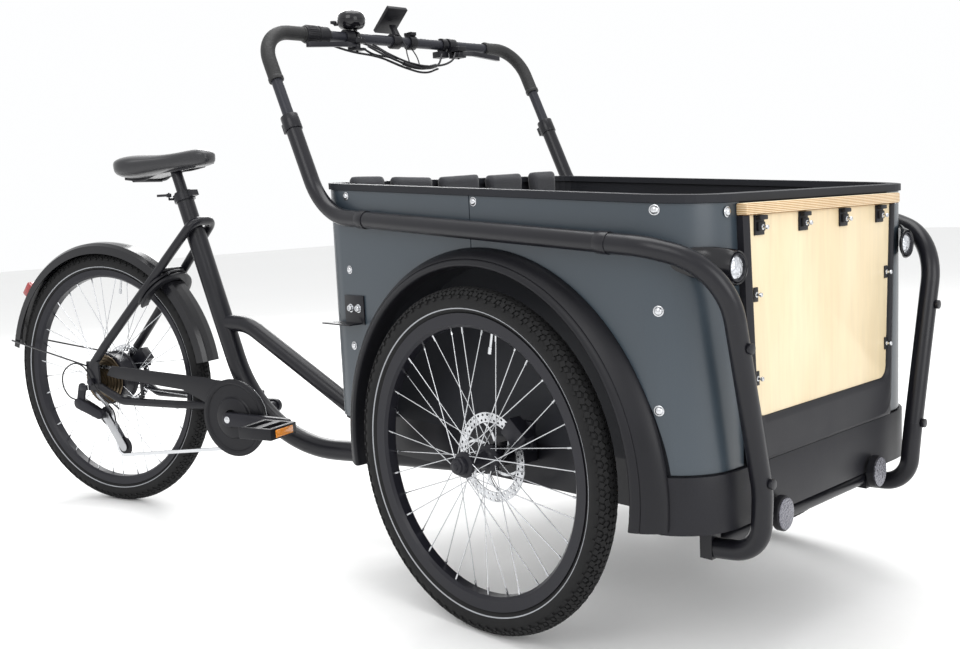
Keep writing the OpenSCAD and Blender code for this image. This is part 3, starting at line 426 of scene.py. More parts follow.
def refined(node, finishes, paint=None, edge=None):
    """A copy of a CAD node with its hard edges rounded one run of edges at a time, which stands for it."""
    size = bpy.context.scene.trike_sizes
    bm = bmesh.new()
    bm.from_mesh(NODES[node].data)
    bmesh.ops.remove_doubles(bm, verts=bm.verts, dist=2e-6)
    bmesh.ops.dissolve_limit(bm, angle_limit=math.radians(1), verts=bm.verts, edges=bm.edges,
                             use_dissolve_boundaries=False, delimit=set())
    hard = {e for e in bm.edges if len(e.link_faces) == 2 and e.calc_face_angle(0) > math.radians(40)}
    while hard:
        island = {next(iter(hard))}
        grow = list(island)
        while grow:
            near = {e for v in grow.pop().verts for e in v.link_edges if e in hard} - island
            island |= near
            grow += near
        hard -= island
        bmesh.ops.bevel(bm, geom=list(island), offset=edge or size.edge, segments=2, profile=0.5,
                        affect="EDGES", material=-1, clamp_overlap=True)
        hard = {e for e in hard if e.is_valid}
    return piece(bm, node + "_finished", finishes, BODY[node], stands_for=[node], paint=paint, smooth=32)


def coat(finish, *nodes):
    """Gives CAD nodes that keep their own mesh a finish."""
    for node in nodes:
        slots = NODES[node].material_slots
        for slot in slots:
            slot.material = FINISHES[finish]
        if not slots:
            NODES[node].data.materials.append(FINISHES[finish])


def cables(name, finish, body, place, routes, radius):
    """Cables along smooth curves through their points, as one piece."""
    curve = bpy.data.curves.new(name, "CURVE")
    curve.dimensions = "3D"
    curve.bevel_depth = radius
    curve.bevel_resolution = 3
    curve.resolution_u = 8
    curve.use_fill_caps = True
    for route in routes:
        spline = curve.splines.new("BEZIER")
        spline.bezier_points.add(len(route) - 1)
        for knot, co in zip(spline.bezier_points, route):
            knot.co = place @ Vector(co)
            knot.handle_left_type = knot.handle_right_type = "AUTO"
    obj = bpy.data.objects.new(name, curve)
    bpy.context.scene.collection.objects.link(obj)
    bpy.context.view_layer.update()
    mesh = bpy.data.meshes.new_from_object(obj.evaluated_get(bpy.context.evaluated_depsgraph_get()))
    bpy.data.objects.remove(obj)
    made = bpy.data.objects.new(name, mesh)
    mesh.materials.clear()
    return dress(made, [finish], body, slot="black_plastic")


# ---------- wheels ----------

# Each lug: degrees across the tread, share of a pitch, skew in degrees, width and length in millimetres.
LUGS = [(9, 0.05, 32, 7.5, 9), (9, 0.55, -32, 7.5, 9), (30, 0.3, -28, 8, 10), (30, 0.8, 28, 6, 8),
        (50, 0.05, 20, 8, 9), (50, 0.55, 20, 6, 7), (67, 0.3, 0, 5, 6)]
STRIPE = (118, 124)                      # where the reflective line starts and ends, in degrees
FRONT_TYRE = (0.3035, 0.049, 0.2595)     # outer radius, width and the rim's outer radius
REAR_TYRE = (0.3295, 0.050, 0.2855)


def tyre(bm, radius, width, rim_top, pitches, lug_height):
    """Carcass with a reflective line on each side, and rows of lugs across the tread."""
    half = width / 2
    core = radius - half
    shell = half - lug_height
    for angle, share, skew, wide, long in LUGS:
        for side in (1, -1):
            shift = TURN / pitches * (share + (0.5 if side < 0 else 0))
            place = (Matrix.Rotation(shift, 4, "Y") @ Matrix.Translation((core, 0, 0))
                     @ Matrix.Rotation(math.radians(angle * side), 4, "Z")
                     @ Matrix.Translation((shell + lug_height * 0.42, 0, 0))
                     @ Matrix.Rotation(math.radians(skew * side), 4, "X"))
            block(bm, (lug_height, wide * MM, long * MM), place)
    repeat(bm, everything(bm), pitches)
    half_sweep = [16, 32, 48, 66, 84, 102, STRIPE[0], STRIPE[1], 138]
    sweep = [-a for a in reversed(half_sweep)] + [0] + half_sweep
    outline = [(core + shell * math.cos(math.radians(a)), shell * math.sin(math.radians(a))) for a in sweep]
    outline += [(rim_top - MM, shell * 0.55), (rim_top - MM, -shell * 0.55)]
    lathe(bm, outline, 128, True)

    def line(centre):
        across = math.degrees(math.atan2(abs(centre.y), math.hypot(centre.x, centre.z) - core))
        return 1 if STRIPE[0] < across < STRIPE[1] else 0
    return line


def spoke_ends(flange, out, inn, rim, cross, phase):
    """Each spoke's ends at the flange and at the rim, where the CAD spokes lie."""
    for s, y in enumerate((out, inn)):
        for j in range(18):
            lead = 1 if j % 2 == 0 else -1
            at = math.radians(phase + 20 * j + 10 * s)
            to = at + math.radians(lead * cross)
            yield (Vector((flange * math.cos(at), y + lead * 2.1, flange * math.sin(at))) * MM,
                   Vector((rim * math.cos(to), (5 if s == 0 else -5) + lead * 0.9, rim * math.sin(to))) * MM)


# Flange radius, outer and inner flange, rim radius (millimetres), lead and first angle (degrees).
FRONT_SPOKES = (19, -30, 25, 235.5, 60, 4)
REAR_SPOKES = (64, -21, 21, 266.5, 20, 2)


def wheel_trim(bm, spokes, rim_inner):
    """Nipples, spoke heads and the valve."""
    for hub, rim in spoke_ends(*spokes):
        way = (hub - rim).normalized()
        rod(bm, rim - way * MM, rim + way * 13 * MM, 2.0 * MM, 8)
        rod(bm, hub - way * 1.5 * MM, hub + way * 2 * MM, 2.1 * MM, 8)
    valve = math.radians(77)
    way = Vector((math.cos(valve), 0, math.sin(valve)))
    rod(bm, way * (rim_inner + 4) * MM, way * (rim_inner - 26) * MM, 3.0 * MM, 16)
    rod(bm, way * (rim_inner - 26) * MM, way * (rim_inner - 38) * MM, 4.2 * MM, 16)


ROTOR_IN, ROTOR_ROW, ROTOR_HUB = 62, 9, 21     # ring's inner radius, width of a row and where arms start


def rotor(bm, y, holes):
    """Brake rotor: a ring with two rows of holes, on six curved arms."""
    step = TURN / holes
    for row in (0, 1):
        small = bmesh.ops.create_circle(bm, segments=8, radius=0.24)["verts"]
        large = bmesh.ops.create_circle(bm, segments=8, radius=1)["verts"]
        for v in large:
            v.co = v.co * 0.5 / max(abs(v.co.x), abs(v.co.y))
        edges = list({e for v in small + large for e in v.link_edges})
        bmesh.ops.bridge_loops(bm, edges=edges)
        for v in small + large:
            angle = (v.co.x + row * 0.5) * step
            radius = (ROTOR_IN + ROTOR_ROW * (row + v.co.y + 0.5)) * MM
            v.co = (radius * math.cos(angle), 0, radius * math.sin(angle))
    repeat(bm, everything(bm), holes)
    ring = set(everything(bm))
    loft(bm, 2, 8, lambda u, v: Matrix.Rotation(-0.75 * v, 4, "Y")
         @ Vector(((ROTOR_HUB + 40 * v) * MM, 0, (u - 0.5) * (9 - 3 * v) * MM)))
    arm = [g for g in everything(bm) if g not in ring]
    repeat(bm, arm, 6)
    bmesh.ops.remove_doubles(bm, verts=bm.verts, dist=1e-6)
    bmesh.ops.recalc_face_normals(bm, faces=bm.faces)
    bmesh.ops.solidify(bm, geom=bm.faces[:], thickness=1.9 * MM)
    bmesh.ops.translate(bm, vec=(0, y, 0), verts=bm.verts)


# Outlines turned about the Y axis are (radius, y) in millimetres.
FRONT_HUB = [(0, -54), (5, -54), (6.5, -53.2), (7, -51.8), (10.5, -51.8), (12.6, -51), (13.4, -49.5),
             (13.4, -47), (15.4, -46), (16.4, -44), (16.4, -36), (19, -34.6), (22.2, -33.4),
             (22.8, -32), (22.8, -28), (22, -26.8), (17, -25), (14.4, -21), (13, -12), (13, 8),
             (14.6, 16), (18, 20), (25, 21.6), (27, 22.8), (27, 27.4), (25, 29), (22, 30), (22, 33.8),
             (22, 36.2), (22, 43), (20, 45), (10.2, 45), (10.2, -49), (0, -49)]
REAR_HUB = [(12.2, -28.4), (24, -28.4), (24.5, -27.2), (40, -26.6), (58, -25), (66, -24), (68, -22.6),
            (68, -18.6), (66.6, -17), (62.6, -15.4), (62, -12), (62, 12), (62.6, 15.4), (66.6, 17),
            (68, 18.6), (68, 22.6), (66, 24), (58, 25), (52, 26.6), (42, 28.5), (31, 30), (30, 42),
            (28, 44), (22, 44.2), (22, 54), (12.2, 54)]


def build_wheels(size):
    """The three wheels."""
    for side, place in (("right", HUB_RIGHT), ("left", HUB_LEFT)):
        body = "wheel_front_" + side
        bm = bmesh.new()
        line = tyre(bm, *FRONT_TYRE, size.front_pitches, size.tread_height)
        piece(bm, "tyre_with_tread_front_" + side, ["tyre_rubber", "reflex"], body, place,
              ["tyre_front_" + side], paint=line, smooth=50)
        bm = bmesh.new()
        wheel_trim(bm, FRONT_SPOKES, 234.5)
        piece(bm, "nipples_and_valve_front_" + side, ["steel"], body, place, slot="steel")
        bm = turned(FRONT_HUB, 72)
        piece(bm, "hub_shell_front_" + side, ["alloy_black"], body, place, ["hub_front_" + side])
        bm = bmesh.new()
        rotor(bm, 0.036, size.rotor_holes)
        piece(bm, "rotor_front_" + side, ["steel"], body, place, slot="steel", smooth=20)
        coat("alloy_black", "rim_front_" + side)
        coat("steel", "spokes_front_" + side)
    bm = bmesh.new()
    line = tyre(bm, *REAR_TYRE, size.rear_pitches, size.tread_height)
    piece(bm, "tyre_with_tread_rear", ["tyre_rubber", "reflex"], "wheel_rear", HUB_REAR, ["tyre_rear"],
          paint=line, smooth=50)
    bm = bmesh.new()
    wheel_trim(bm, REAR_SPOKES, 265.5)
    piece(bm, "nipples_and_valve_rear", ["steel"], "wheel_rear", HUB_REAR, slot="steel")
    bm = turned(REAR_HUB, 96, closed=True)
    piece(bm, "motor_shell", ["alloy_black"], "wheel_rear", HUB_REAR, ["hub_motor"])
    bm = bmesh.new()
    rotor(bm, 0.051, size.rotor_holes)
    piece(bm, "rotor_rear", ["steel"], "wheel_rear", HUB_REAR, slot="steel", smooth=20)
    coat("alloy_black", "rim_rear")
    coat("steel", "spokes_rear")


# ---------- box ----------

ARCH = [(384.6, -357), (385, -361), (384, -365), (380.5, -370.5), (375, -376.6), (368, -382.6),
        (360, -387.8), (357, -389.3), (355.6, -388.4), (354.4, -390.6), (350, -392.6), (345.5, -394.4),
        (341.5, -395), (338.8, -393.5), (337.4, -390), (337.2, -384), (337, -357)]
SEAM_RADIUS = 0.385
LIP_RADIUS = 0.342
SEAM_DROP = 0.0175       # how far below the axle the outer seam is centred
AXLE_HEIGHT = 0.3035
ARCH_FOOT = 0.246


def build_arches():
    """The arches, round at the lip and a little lower at the seam, cut off level at their feet."""
    for side, place in SIDES.items():
        bm = bmesh.new()
        lathe(bm, [(r * MM, y * MM) for r, y in ARCH], 144, True)
        for v in bm.verts:
            share = (math.hypot(v.co.x, v.co.z) - LIP_RADIUS) / (SEAM_RADIUS - LIP_RADIUS)
            v.co.z += AXLE_HEIGHT - SEAM_DROP * min(1, max(0, share))
        cut = bmesh.ops.bisect_plane(bm, geom=everything(bm), dist=1e-7, plane_co=(0, 0, ARCH_FOOT),
                                     plane_no=(0, 0, 1), clear_inner=True)["geom_cut"]
        bmesh.ops.holes_fill(bm, edges=[g for g in cut if isinstance(g, bmesh.types.BMEdge)], sides=0)
        piece(bm, "wheel_arch_" + side, ["black_plastic"], "front_frame", place, ["fender_" + side],
              smooth=50)


FRONT_CORNER = (0.336, 0.100)      # where the box's front corner starts, and its radius
BOX_SIDE = 0.3601                  # outside of a side panel
WALL_BOLTS = [(-0.365, 0.770), (-0.006, 0.749), (0.370, 0.726), (-0.367, 0.627), (0.372, 0.578),
              (0.369, 0.429), (-0.367, 0.477)]
DOME = [(0, 5), (2.2, 4.8), (4.2, 4.1), (5.6, 3), (6.3, 1.8), (6.5, 1.2), (7.8, 1.1), (8.2, 0.8),
        (8.2, 0), (0, 0)]
PIN = [(0, 0), (4.2, 0), (4.2, 1.6), (2.4, 2), (2.0, 6), (3.2, 7), (3.8, 8.6), (3.2, 10.2), (1.6, 11),
       (0, 11.1)]
STUDS = (-0.200, -0.072, 0.057, 0.185)                             # across the top of the front board
CLIPS = [(y, z) for y in (-0.211, 0.211) for z in (0.463, 0.591)]    # down both its sides
REFLECTORS = (-0.157, 0.157)                                       # below it
REFLECTOR_HEIGHT = 0.241
# The board's top and foot, half its width at the foot, what each side gains by the top, and its corners.
BOARD_TOP, BOARD_FOOT, BOARD_HALF, BOARD_FLARE, BOARD_CORNER = 0.711, 0.402, 0.2125, 0.0145, 0.022
# Across the moulding: how far out and down from the board's edge, and how far forward.
MOULDING = [(0.0005, 0.0, 0.4452), (0.002, 0.003, 0.4492), (0.006, 0.012, 0.4508), (0.014, 0.050, 0.4475),
            (0.017, 0.066, 0.4470), (0.017, 0.068, 0.4364)]


def wall_place(x, z):
    """A place on the right side of the box, looking outwards, round the front corner as well."""
    start, radius = FRONT_CORNER
    turn = math.asin((x - start) / radius) if x > start else 0
    y = BOX_SIDE - radius * (1 - math.cos(turn))
    return facing((x, -y, z), (math.sin(turn), -math.cos(turn), 0))


def moulding(u, v):
    """The moulding round the board's sides and foot: u runs along it, v across it."""
    out, down, x = MOULDING[round(v * (len(MOULDING) - 1))]
    corner, half = BOARD_CORNER + out * 0.6, BOARD_HALF + out
    foot = BOARD_FOOT - down
    steps = 8
    side = [(-half - BOARD_FLARE * (1 - i / steps), BOARD_TOP + (foot + corner - BOARD_TOP) * i / steps)
            for i in range(steps + 1)]
    side += arc(-half + corner, foot + corner, corner, 180, 270, 6)[1:]
    path = side + [(-y, z) for y, z in reversed(side)]
    y, z = path[round(u * (len(path) - 1))]
    return Vector((x, y, z))


def oval(y, radius, squeeze):
    """A narrow round outline for a reflector."""
    return [(y + (a - y) * squeeze, b) for a, b in arc(y, REFLECTOR_HEIGHT, radius, 0, 360, 32)[:-1]]


def build_box():
    """Panels, front board with its rail and moulding, studs, nuts and reflectors."""
    coat("panel_paint", "back_panel")
    for node in ("side_panels_right", "side_panels_left"):
        panel = refined(node, ["panel_paint"], edge=0.0008)
        even = panel.modifiers.new("even", "WEIGHTED_NORMAL")
        even.keep_sharp = True
    coat("liner", "tub")
    coat("black_steel", "chassis", "step_bar")
    bm = bmesh.new()
    for place in SIDES.values():
        for x, z in WALL_BOLTS:
            join(bm, turned(DOME, 28, place @ wall_place(x, z)))
        join(bm, turned(DOME, 28, place @ facing((0.4362, -0.268, 0.718), (1, 0, 0))))
    piece(bm, "dome_nuts", ["steel"], "front_frame", stands_for=["dome_bolts"])

    bm = bmesh.new()
    outline = arc(-0.190, 0.424, 0.022, 186, 270, 6) + arc(0.190, 0.424, 0.022, 270, 354, 6)
    outline += [(0.227, 0.711), (-0.227, 0.711)]
    plate(bm, outline, -0.4362, -0.4452, 0.0012)
    turn_front = FRONT @ Matrix.Rotation(math.radians(90), 4, "Z")
    piece(bm, "plywood_front", ["birch"], "front_frame", turn_front, ["front_board"])
    bm = bmesh.new()
    block(bm, (0.0200, 0.492, 0.018), FRONT @ Matrix.Translation((0.4462, 0, 0.7205)), 0.003, 3)
    piece(bm, "plywood_rail", ["ply_edge"], "front_frame", slot="birch")

    bm = bmesh.new()
    loft(bm, 29, len(MOULDING) - 1, moulding)
    piece(bm, "board_moulding", ["skirt_plastic"], "front_frame", FRONT, slot="black_plastic", smooth=50)
    refined("front_skirt", ["skirt_plastic"], edge=0.004)

    bm = bmesh.new()
    for y in STUDS:
        face = FRONT @ Matrix.Translation((0.4454, y, 0))
        block(bm, (0.003, 0.026, 0.030), face @ Matrix.Translation((0.0015, 0, 0.695)), 0.001)
        block(bm, (0.010, 0.022, 0.007), face @ Matrix.Translation((0.006, 0, 0.7065)), 0.0015)
        block(bm, (0.005, 0.018, 0.014), face @ Matrix.Translation((0.005, 0, 0.693)), 0.0015)
    for y, z in CLIPS:
        block(bm, (0.0015, 0.012, 0.022), FRONT @ Matrix.Translation((0.4461, y, z)), 0.0004)
    piece(bm, "canopy_stud_plates", ["black_plastic"], "front_frame", stands_for=["canopy_studs"])
    bm = bmesh.new()
    for place in [(0.4524, y, 0.692) for y in STUDS] + [(0.4468, y, z) for y, z in CLIPS]:
        join(bm, turned(PIN, 20, FRONT @ facing(place, (1, 0, 0))))
    piece(bm, "stud_pins", ["steel"], "front_frame", slot="steel")

    bm = bmesh.new()
    for y in REFLECTORS:
        plate(bm, oval(y, 0.026, 0.84), -0.4590, -0.4622, 0.0012)
    piece(bm, "front_reflectors", ["prism"], "front_frame", turn_front, slot="lamp")
    bm = bmesh.new()
    for y in REFLECTORS:
        plate(bm, oval(y, 0.0285, 0.86), -0.4480, -0.4600, 0.0015)
    piece(bm, "reflector_holders", ["black_plastic"], "front_frame", turn_front, slot="black_plastic")


LAMP = (0.4515, -0.273, 0.637)
# Along a headlight's hood, from the side panel round the corner: centre in metres, radius in millimetres.
HOOD = [(0.396, -0.350, 0.652, 3), (0.404, -0.342, 0.651, 15), (0.418, -0.325, 0.648, 22),
        (0.434, -0.300, 0.643, 26), (0.447, -0.281, 0.638, 27.5), (0.4545, -0.274, 0.637, 26.5),
        (0.4575, -0.273, 0.637, 24.5), (0.4560, -0.273, 0.637, 22.5), (0.4520, -0.273, 0.637, 21)]
LAMP_RING = [(16.5, 0), (21.5, 0), (21.8, 3.6), (20.8, 5.2), (19.4, 5.4), (18.4, 3.4), (16.5, 0.6)]
LAMP_LENS = [(0, 6.6), (6, 6.2), (12, 4.9), (16.5, 2.9), (18.4, 1.2), (18.4, 0.2), (0, 0.2)]


def build_lamps():
    """The two headlights, each a hood that wraps its corner, a ring and a lens."""
    hoods, rings, lenses = bmesh.new(), bmesh.new(), bmesh.new()
    for place in SIDES.values():
        def hood(u, v, place=place):
            x, y, z, radius = HOOD[round(v * (len(HOOD) - 1))]
            lean = math.radians(46) * max(0, 1 - v * 1.45)
            a = u * TURN
            out = Vector((math.sin(lean) * math.cos(a), math.cos(lean) * math.cos(a), math.sin(a)))
            return place @ (Vector((x, y, z)) + out * radius * MM)
        loft(hoods, 32, len(HOOD) - 1, hood)
        front = place @ facing(LAMP, (1, 0, 0))
        join(rings, turned(LAMP_RING, 48, front, closed=True))
        join(lenses, turned(LAMP_LENS, 40, front))
    piece(hoods, "lamp_hoods", ["gloss_black"], "front_frame", stands_for=["headlights"], smooth=60)
    piece(rings, "lamp_rings", ["alloy_black"], "front_frame", slot="lamp")
    piece(lenses, "lamp_lenses", ["lens"], "front_frame", slot="lamp")


def swell(obj, puff):
    """Blows the cover up a little with cloth, holding each point within puff of its start."""
    scene = bpy.context.scene
    start = [v.co.copy() for v in obj.data.vertices]
    cloth = obj.modifiers.new("cover", "CLOTH")
    cloth.settings.use_pressure = True
    cloth.settings.uniform_pressure_force = 4
    cloth.settings.effector_weights.gravity = 0
    cloth.point_cache.frame_start = 1
    cloth.point_cache.frame_end = 20
    for number in range(1, 21):
        scene.frame_set(number)
    done = obj.evaluated_get(bpy.context.evaluated_depsgraph_get()).data
    ends = [v.co.copy() for v in done.vertices]
    obj.modifiers.remove(cloth)
    scene.frame_set(1)
    for v, a, b in zip(obj.data.vertices, start, ends):
        step = b - a
        v.co = a + step * min(1, puff / max(step.length, 1e-9))


def cushion(name, low, high, puff):
    """A stuffed pad that stays between two corners."""
    room = Vector((3, 3, 3)) * MM
    start, stop = low + room, high - room
    bm = bmesh.new()
    block(bm, stop - start, Matrix.Translation((start + stop) / 2), 0.009, 3)
    mesh = bpy.data.meshes.new(name)
    bm.to_mesh(mesh)
    bm.free()
    obj = bpy.data.objects.new(name, mesh)
    bpy.context.scene.collection.objects.link(obj)
    remesh = obj.modifiers.new("even", "REMESH")
    remesh.mode = "VOXEL"
    remesh.voxel_size = 0.006
    bpy.context.view_layer.update()
    even = bpy.data.meshes.new_from_object(obj.evaluated_get(bpy.context.evaluated_depsgraph_get()))
    obj.modifiers.clear()
    obj.data = even
    swell(obj, puff)
    for v in obj.data.vertices:
        for axis in range(3):
            v.co[axis] = min(max(v.co[axis], low[axis]), high[axis])
    dress(obj, ["cushion_fabric"], "front_frame", slot="cushion_fabric", smooth=80)
    fine = obj.modifiers.new("fine", "SUBSURF")
    fine.levels = fine.render_levels = 1
    return obj


def build_cushions(size):
    """One pad for each solid of the CAD cushions; then the bench and the battery."""
    pads = [cushion(f"cushion_{number}", low, high, size.puff)
            for number, (low, high) in enumerate(islands("cushions"), 1)]
    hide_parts("cushions")
    refined("bench", ["birch"])
    refined("battery", ["black_plastic"], edge=0.006)


def islands(node):
    """The corners of each separate solid of a CAD node."""
    bm = bmesh.new()
    bm.from_mesh(NODES[node].data)
    bmesh.ops.remove_doubles(bm, verts=bm.verts, dist=2e-6)
    left = set(bm.verts)
    boxes = []
    while left:
        grow = [left.pop()]
        found = list(grow)
        while grow:
            here = grow.pop()
            near = {e.other_vert(here) for e in here.link_edges} & left
            left -= near
            grow += near
            found += near
        boxes.append((Vector([min(v.co[i] for v in found) for i in range(3)]),
                      Vector([max(v.co[i] for v in found) for i in range(3)])))
    bm.free()
    return sorted(boxes, key=lambda box: (round(box[0].z, 2), box[0].y))


# ---------- tubes and handlebar ----------

HEX = [(0, 0), (8.5, 0), (8.5, 0.8), (6.2, 1), (6.4, 5), (5.6, 6), (3.4, 6), (3, 4.6), (0, 4.6)]


def build_tubes():
    """Guard tubes, their fittings and the brackets' screws."""
    coat("black_steel", "side_tube_right", "side_tube_left")
    refined("tube_fittings", ["black_steel"])
    bm = bmesh.new()
    for place in SIDES.values():
        for x in (-0.342, -0.366):
            join(bm, turned(HEX, 18, place @ facing((x, -0.3634, 0.552), (0, -1, 0))))
    piece(bm, "bracket_screws", ["steel"], "front_frame", slot="steel")


BAR = FRONT.inverted() @ point("shift_twist")     # a point on the handlebar's cross tube
LEAN = math.radians(25.93)                        # of the handlebar's legs, from upright
LEG = Vector((-math.sin(LEAN), 0, math.cos(LEAN)))
LEG_SIDE = 0.3765
GRIP_COLLAR = [(11.7, -2), (15.6, -2), (16, 0), (16, 5), (15, 6.5), (11.7, 6.5)]
TWIST_BARREL = [(11.7, -266), (17.2, -266), (18.6, -264), (18.8, -236), (17, -234.5), (17, -233),
                (19.4, -231), (19.4, -210), (18, -207), (14, -206.2), (11.7, -206.2)]
BELL_DOME = [(0, -21), (16, -20.6), (24, -18), (28.4, -13), (30.4, -7), (30.9, -1.6), (30.2, -1.2),
             (30.2, -0.4), (30.9, 0), (30.6, 4), (29, 9.5), (25.6, 14.4), (20, 18), (12, 20.3), (5, 21),
             (0, 21)]
BELL_CLAMP = [(11.55, -5), (15, -5), (15.6, -4), (15.6, 4), (15, 5), (11.55, 5)]
THUMB_KNOB = [(0, 0), (4.2, 0), (5, 1.2), (5.2, 4), (4.4, 6.6), (2.6, 8), (0, 8.4)]


def bent(a, corner, b, radius, count):
    """Points from a over a rounded corner to b."""
    back, on = (a - corner).normalized(), (b - corner).normalized()
    half = back.angle(on) / 2
    centre = corner + (back + on).normalized() * radius / math.sin(half)
    first = corner + back * radius / math.tan(half)
    last = corner + on * radius / math.tan(half)
    axis, angle = (first - centre).rotation_difference(last - centre).to_axis_angle()
    turns = [Matrix.Rotation(angle * i / count, 3, axis) for i in range(count + 1)]
    return [a] + [centre + turn @ (first - centre) for turn in turns] + [b]


def build_grips():
    """A grip over each bend of the handlebar, with a collar at both ends."""
    bm = bmesh.new()
    corner = Vector((BAR.x, -LEG_SIDE, BAR.z))
    for place in SIDES.values():
        path = bent(corner - LEG * 0.118, corner, corner + Vector((0, 0.108, 0)), 0.072, 14)
        rings = []
        for i, at in enumerate(path):
            ahead = path[min(i + 1, len(path) - 1)] - path[max(i - 1, 0)]
            turn = ahead.to_track_quat("Z", "Y").to_matrix().to_4x4()
            made = bmesh.ops.create_circle(bm, segments=32, radius=0.0149,
                                           matrix=place @ Matrix.Translation(at) @ turn)["verts"]
            rings.append(list({e for v in made for e in v.link_edges}))
        for one, two in zip(rings, rings[1:]):
            bmesh.ops.bridge_loops(bm, edges=one + two)
        for end in (rings[0], rings[-1]):
            bmesh.ops.holes_fill(bm, edges=end, sides=0)
        for at, way in ((path[0], LEG), (path[-1], (0, 1, 0))):
            join(bm, turned(GRIP_COLLAR, 40, place @ facing(at, way), closed=True))
    piece(bm, "wrapped_grips", ["grip_rubber"], "handlebar", stands_for=["grips"], smooth=50)


def build_bell():
    """The bell on its clamp, with its thumb piece."""
    strike = FRONT.inverted() @ point("bell_strike")
    away = Vector((-1, -1, 0)).normalized()
    bell = Vector((strike.x, strike.y, BAR.z + 0.038)) - away * 0.037
    low = Vector((0, 0, 0.0075))
    bm = turned(BELL_DOME, 64, FRONT @ facing(bell, (0, 0, 1)))
    rod(bm, FRONT @ Vector((BAR.x, -0.130, BAR.z + 0.012)), FRONT @ (bell + Vector((0, 0.01, -0.019))),
        0.0045, 20)
    join(bm, turned(BELL_CLAMP, 40, FRONT @ Matrix.Translation((BAR.x, -0.130, BAR.z)), closed=True))
    rod(bm, FRONT @ (bell + away * 0.026 - low), FRONT @ (bell + away * 0.0385 - low), 0.0035, 16)
    piece(bm, "bell_dome", ["gloss_black"], "handlebar", stands_for=["bell"])
    bm = turned(THUMB_KNOB, 24, FRONT @ facing(strike - Vector((0, 0, 0.006)), (0, 0, 1)))
    neck = strike - Vector((0, 0, 0.001))
    rod(bm, FRONT @ neck, FRONT @ (neck + away * 0.009), 0.0035, 16)
    piece(bm, "bell_thumb_piece", ["black_plastic"], "bell_lever", stands_for=["bell_lever"])


def build_handlebar():
    """Everything on the handlebar but its cables."""
    coat("gunmetal", "handlebar")
    build_grips()
    refined("bar_fittings", ["black_plastic"])
    for side in ("right", "left"):
        refined("brake_lever_" + side, ["alloy_black"], edge=0.0022)
    bm = turned(TWIST_BARREL, 48, closed=True)
    ribs = bmesh.new()
    block(ribs, (0.0016, 0.025, 0.0016), Matrix.Translation((0.0187, -0.2505, 0)), 0.0004)
    repeat(ribs, everything(ribs), 26)
    join(bm, ribs)
    piece(bm, "ribbed_twist_barrel", ["black_plastic"], "twist_shifter",
          FRONT @ Matrix.Translation((BAR.x, 0, BAR.z)), ["twist_shifter"])
    build_bell()
    bm = bmesh.new()
    tilt = (FRONT @ Matrix.Translation((BAR.x - 0.014, -0.016, BAR.z + 0.050))
            @ Matrix.Rotation(math.radians(-40), 4, "Y"))
    block(bm, (0.060, 0.046, 0.0016), tilt @ Matrix.Translation((0, 0, 0.0042)), 0.0006)
    piece(bm, "display_screen", ["screen"], "handlebar", slot="gloss_black")
    refined("display_button", ["black_plastic"], edge=0.0008)


# Points of each cable and wire, from the middle of the cross tube.
LOOM = [(0.040, -0.128, -0.022), (0.060, -0.092, -0.044), (0.066, -0.040, -0.060), (0.062, 0.015, -0.066),
        (0.050, 0.065, -0.054), (0.030, 0.098, -0.026)]
CABLES = [
    LOOM,
    [(0.040, 0.132, -0.022), (0.062, 0.096, -0.046), (0.070, 0.040, -0.060), (0.066, -0.020, -0.058),
     (0.046, -0.070, -0.038), (0.022, -0.100, -0.014)],
    [(0.004, -0.208, -0.018), (0.030, -0.170, -0.034), (0.052, -0.110, -0.046), (0.060, -0.050, -0.064)],
    [(x, y, z - 0.009) for x, y, z in LOOM[1:5]],
    [(0.052, -0.150, -0.030), (0.048, -0.120, -0.040), (0.050, -0.070, -0.046), (0.054, -0.020, -0.066)],
    [(0.012, -0.118, -0.012), (0.034, -0.100, -0.024), (0.054, -0.060, -0.050)]]
WIRES = [
    [(0.006, 0.026, -0.014), (0.030, 0.020, -0.036), (0.058, 0.004, -0.062)],
    [(0.002, -0.012, 0.016), (0.022, -0.008, -0.008), (0.040, -0.016, -0.036), (0.060, -0.026, -0.060)]]
WRAP = [(0.0655, -0.050 + 0.012 * i, -0.0585 - 0.007 * math.sin(math.pi * i / 8)) for i in range(9)]


def build_cables(size):
    """Cables under the cross tube, with a wrap round the middle of the bundle."""
    place = FRONT @ Matrix.Translation((BAR.x, 0, BAR.z))
    cables("handlebar_cables", "black_plastic", "handlebar", place, CABLES, size.cable)
    wires = cables("handlebar_wires", "black_plastic", "handlebar", place, WIRES, size.cable * 0.6)
    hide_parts("bar_cables")
    cables("cable_wrap", "black_plastic", "handlebar", place, [WRAP], size.cable * 1.9)


# ---------- rear frame, saddle, drive ----------

def build_rear_frame():
    """Rear tubes with what is bolted to them, and the calipers."""
    coat("black_steel", "rear_frame", "seat_post")
    coat("gloss_black", "rear_fender")
    refined("ring_lock", ["black_plastic"])
    refined("rear_caliper", ["alloy_black"])
    refined("clamp_lever", ["alloy_black"])
    refined("front_calipers", ["alloy_black"], edge=0.0025)
    coat("steel", "lock_shackle")
    refined("tail_light", ["red_lens"], edge=0.004)


SADDLE = [  # place along, half width, top, bottom
    (-1.1450, 0.038, 0.880, 0.860), (-1.1410, 0.068, 0.889, 0.850), (-1.1260, 0.094, 0.896, 0.841),
    (-1.0960, 0.103, 0.901, 0.838), (-1.0620, 0.092, 0.900, 0.842), (-1.0280, 0.068, 0.897, 0.850),
    (-0.9920, 0.046, 0.897, 0.856), (-0.9560, 0.036, 0.901, 0.859), (-0.9240, 0.032, 0.904, 0.860),
    (-0.9010, 0.026, 0.901, 0.863), (-0.8890, 0.014, 0.890, 0.870)]


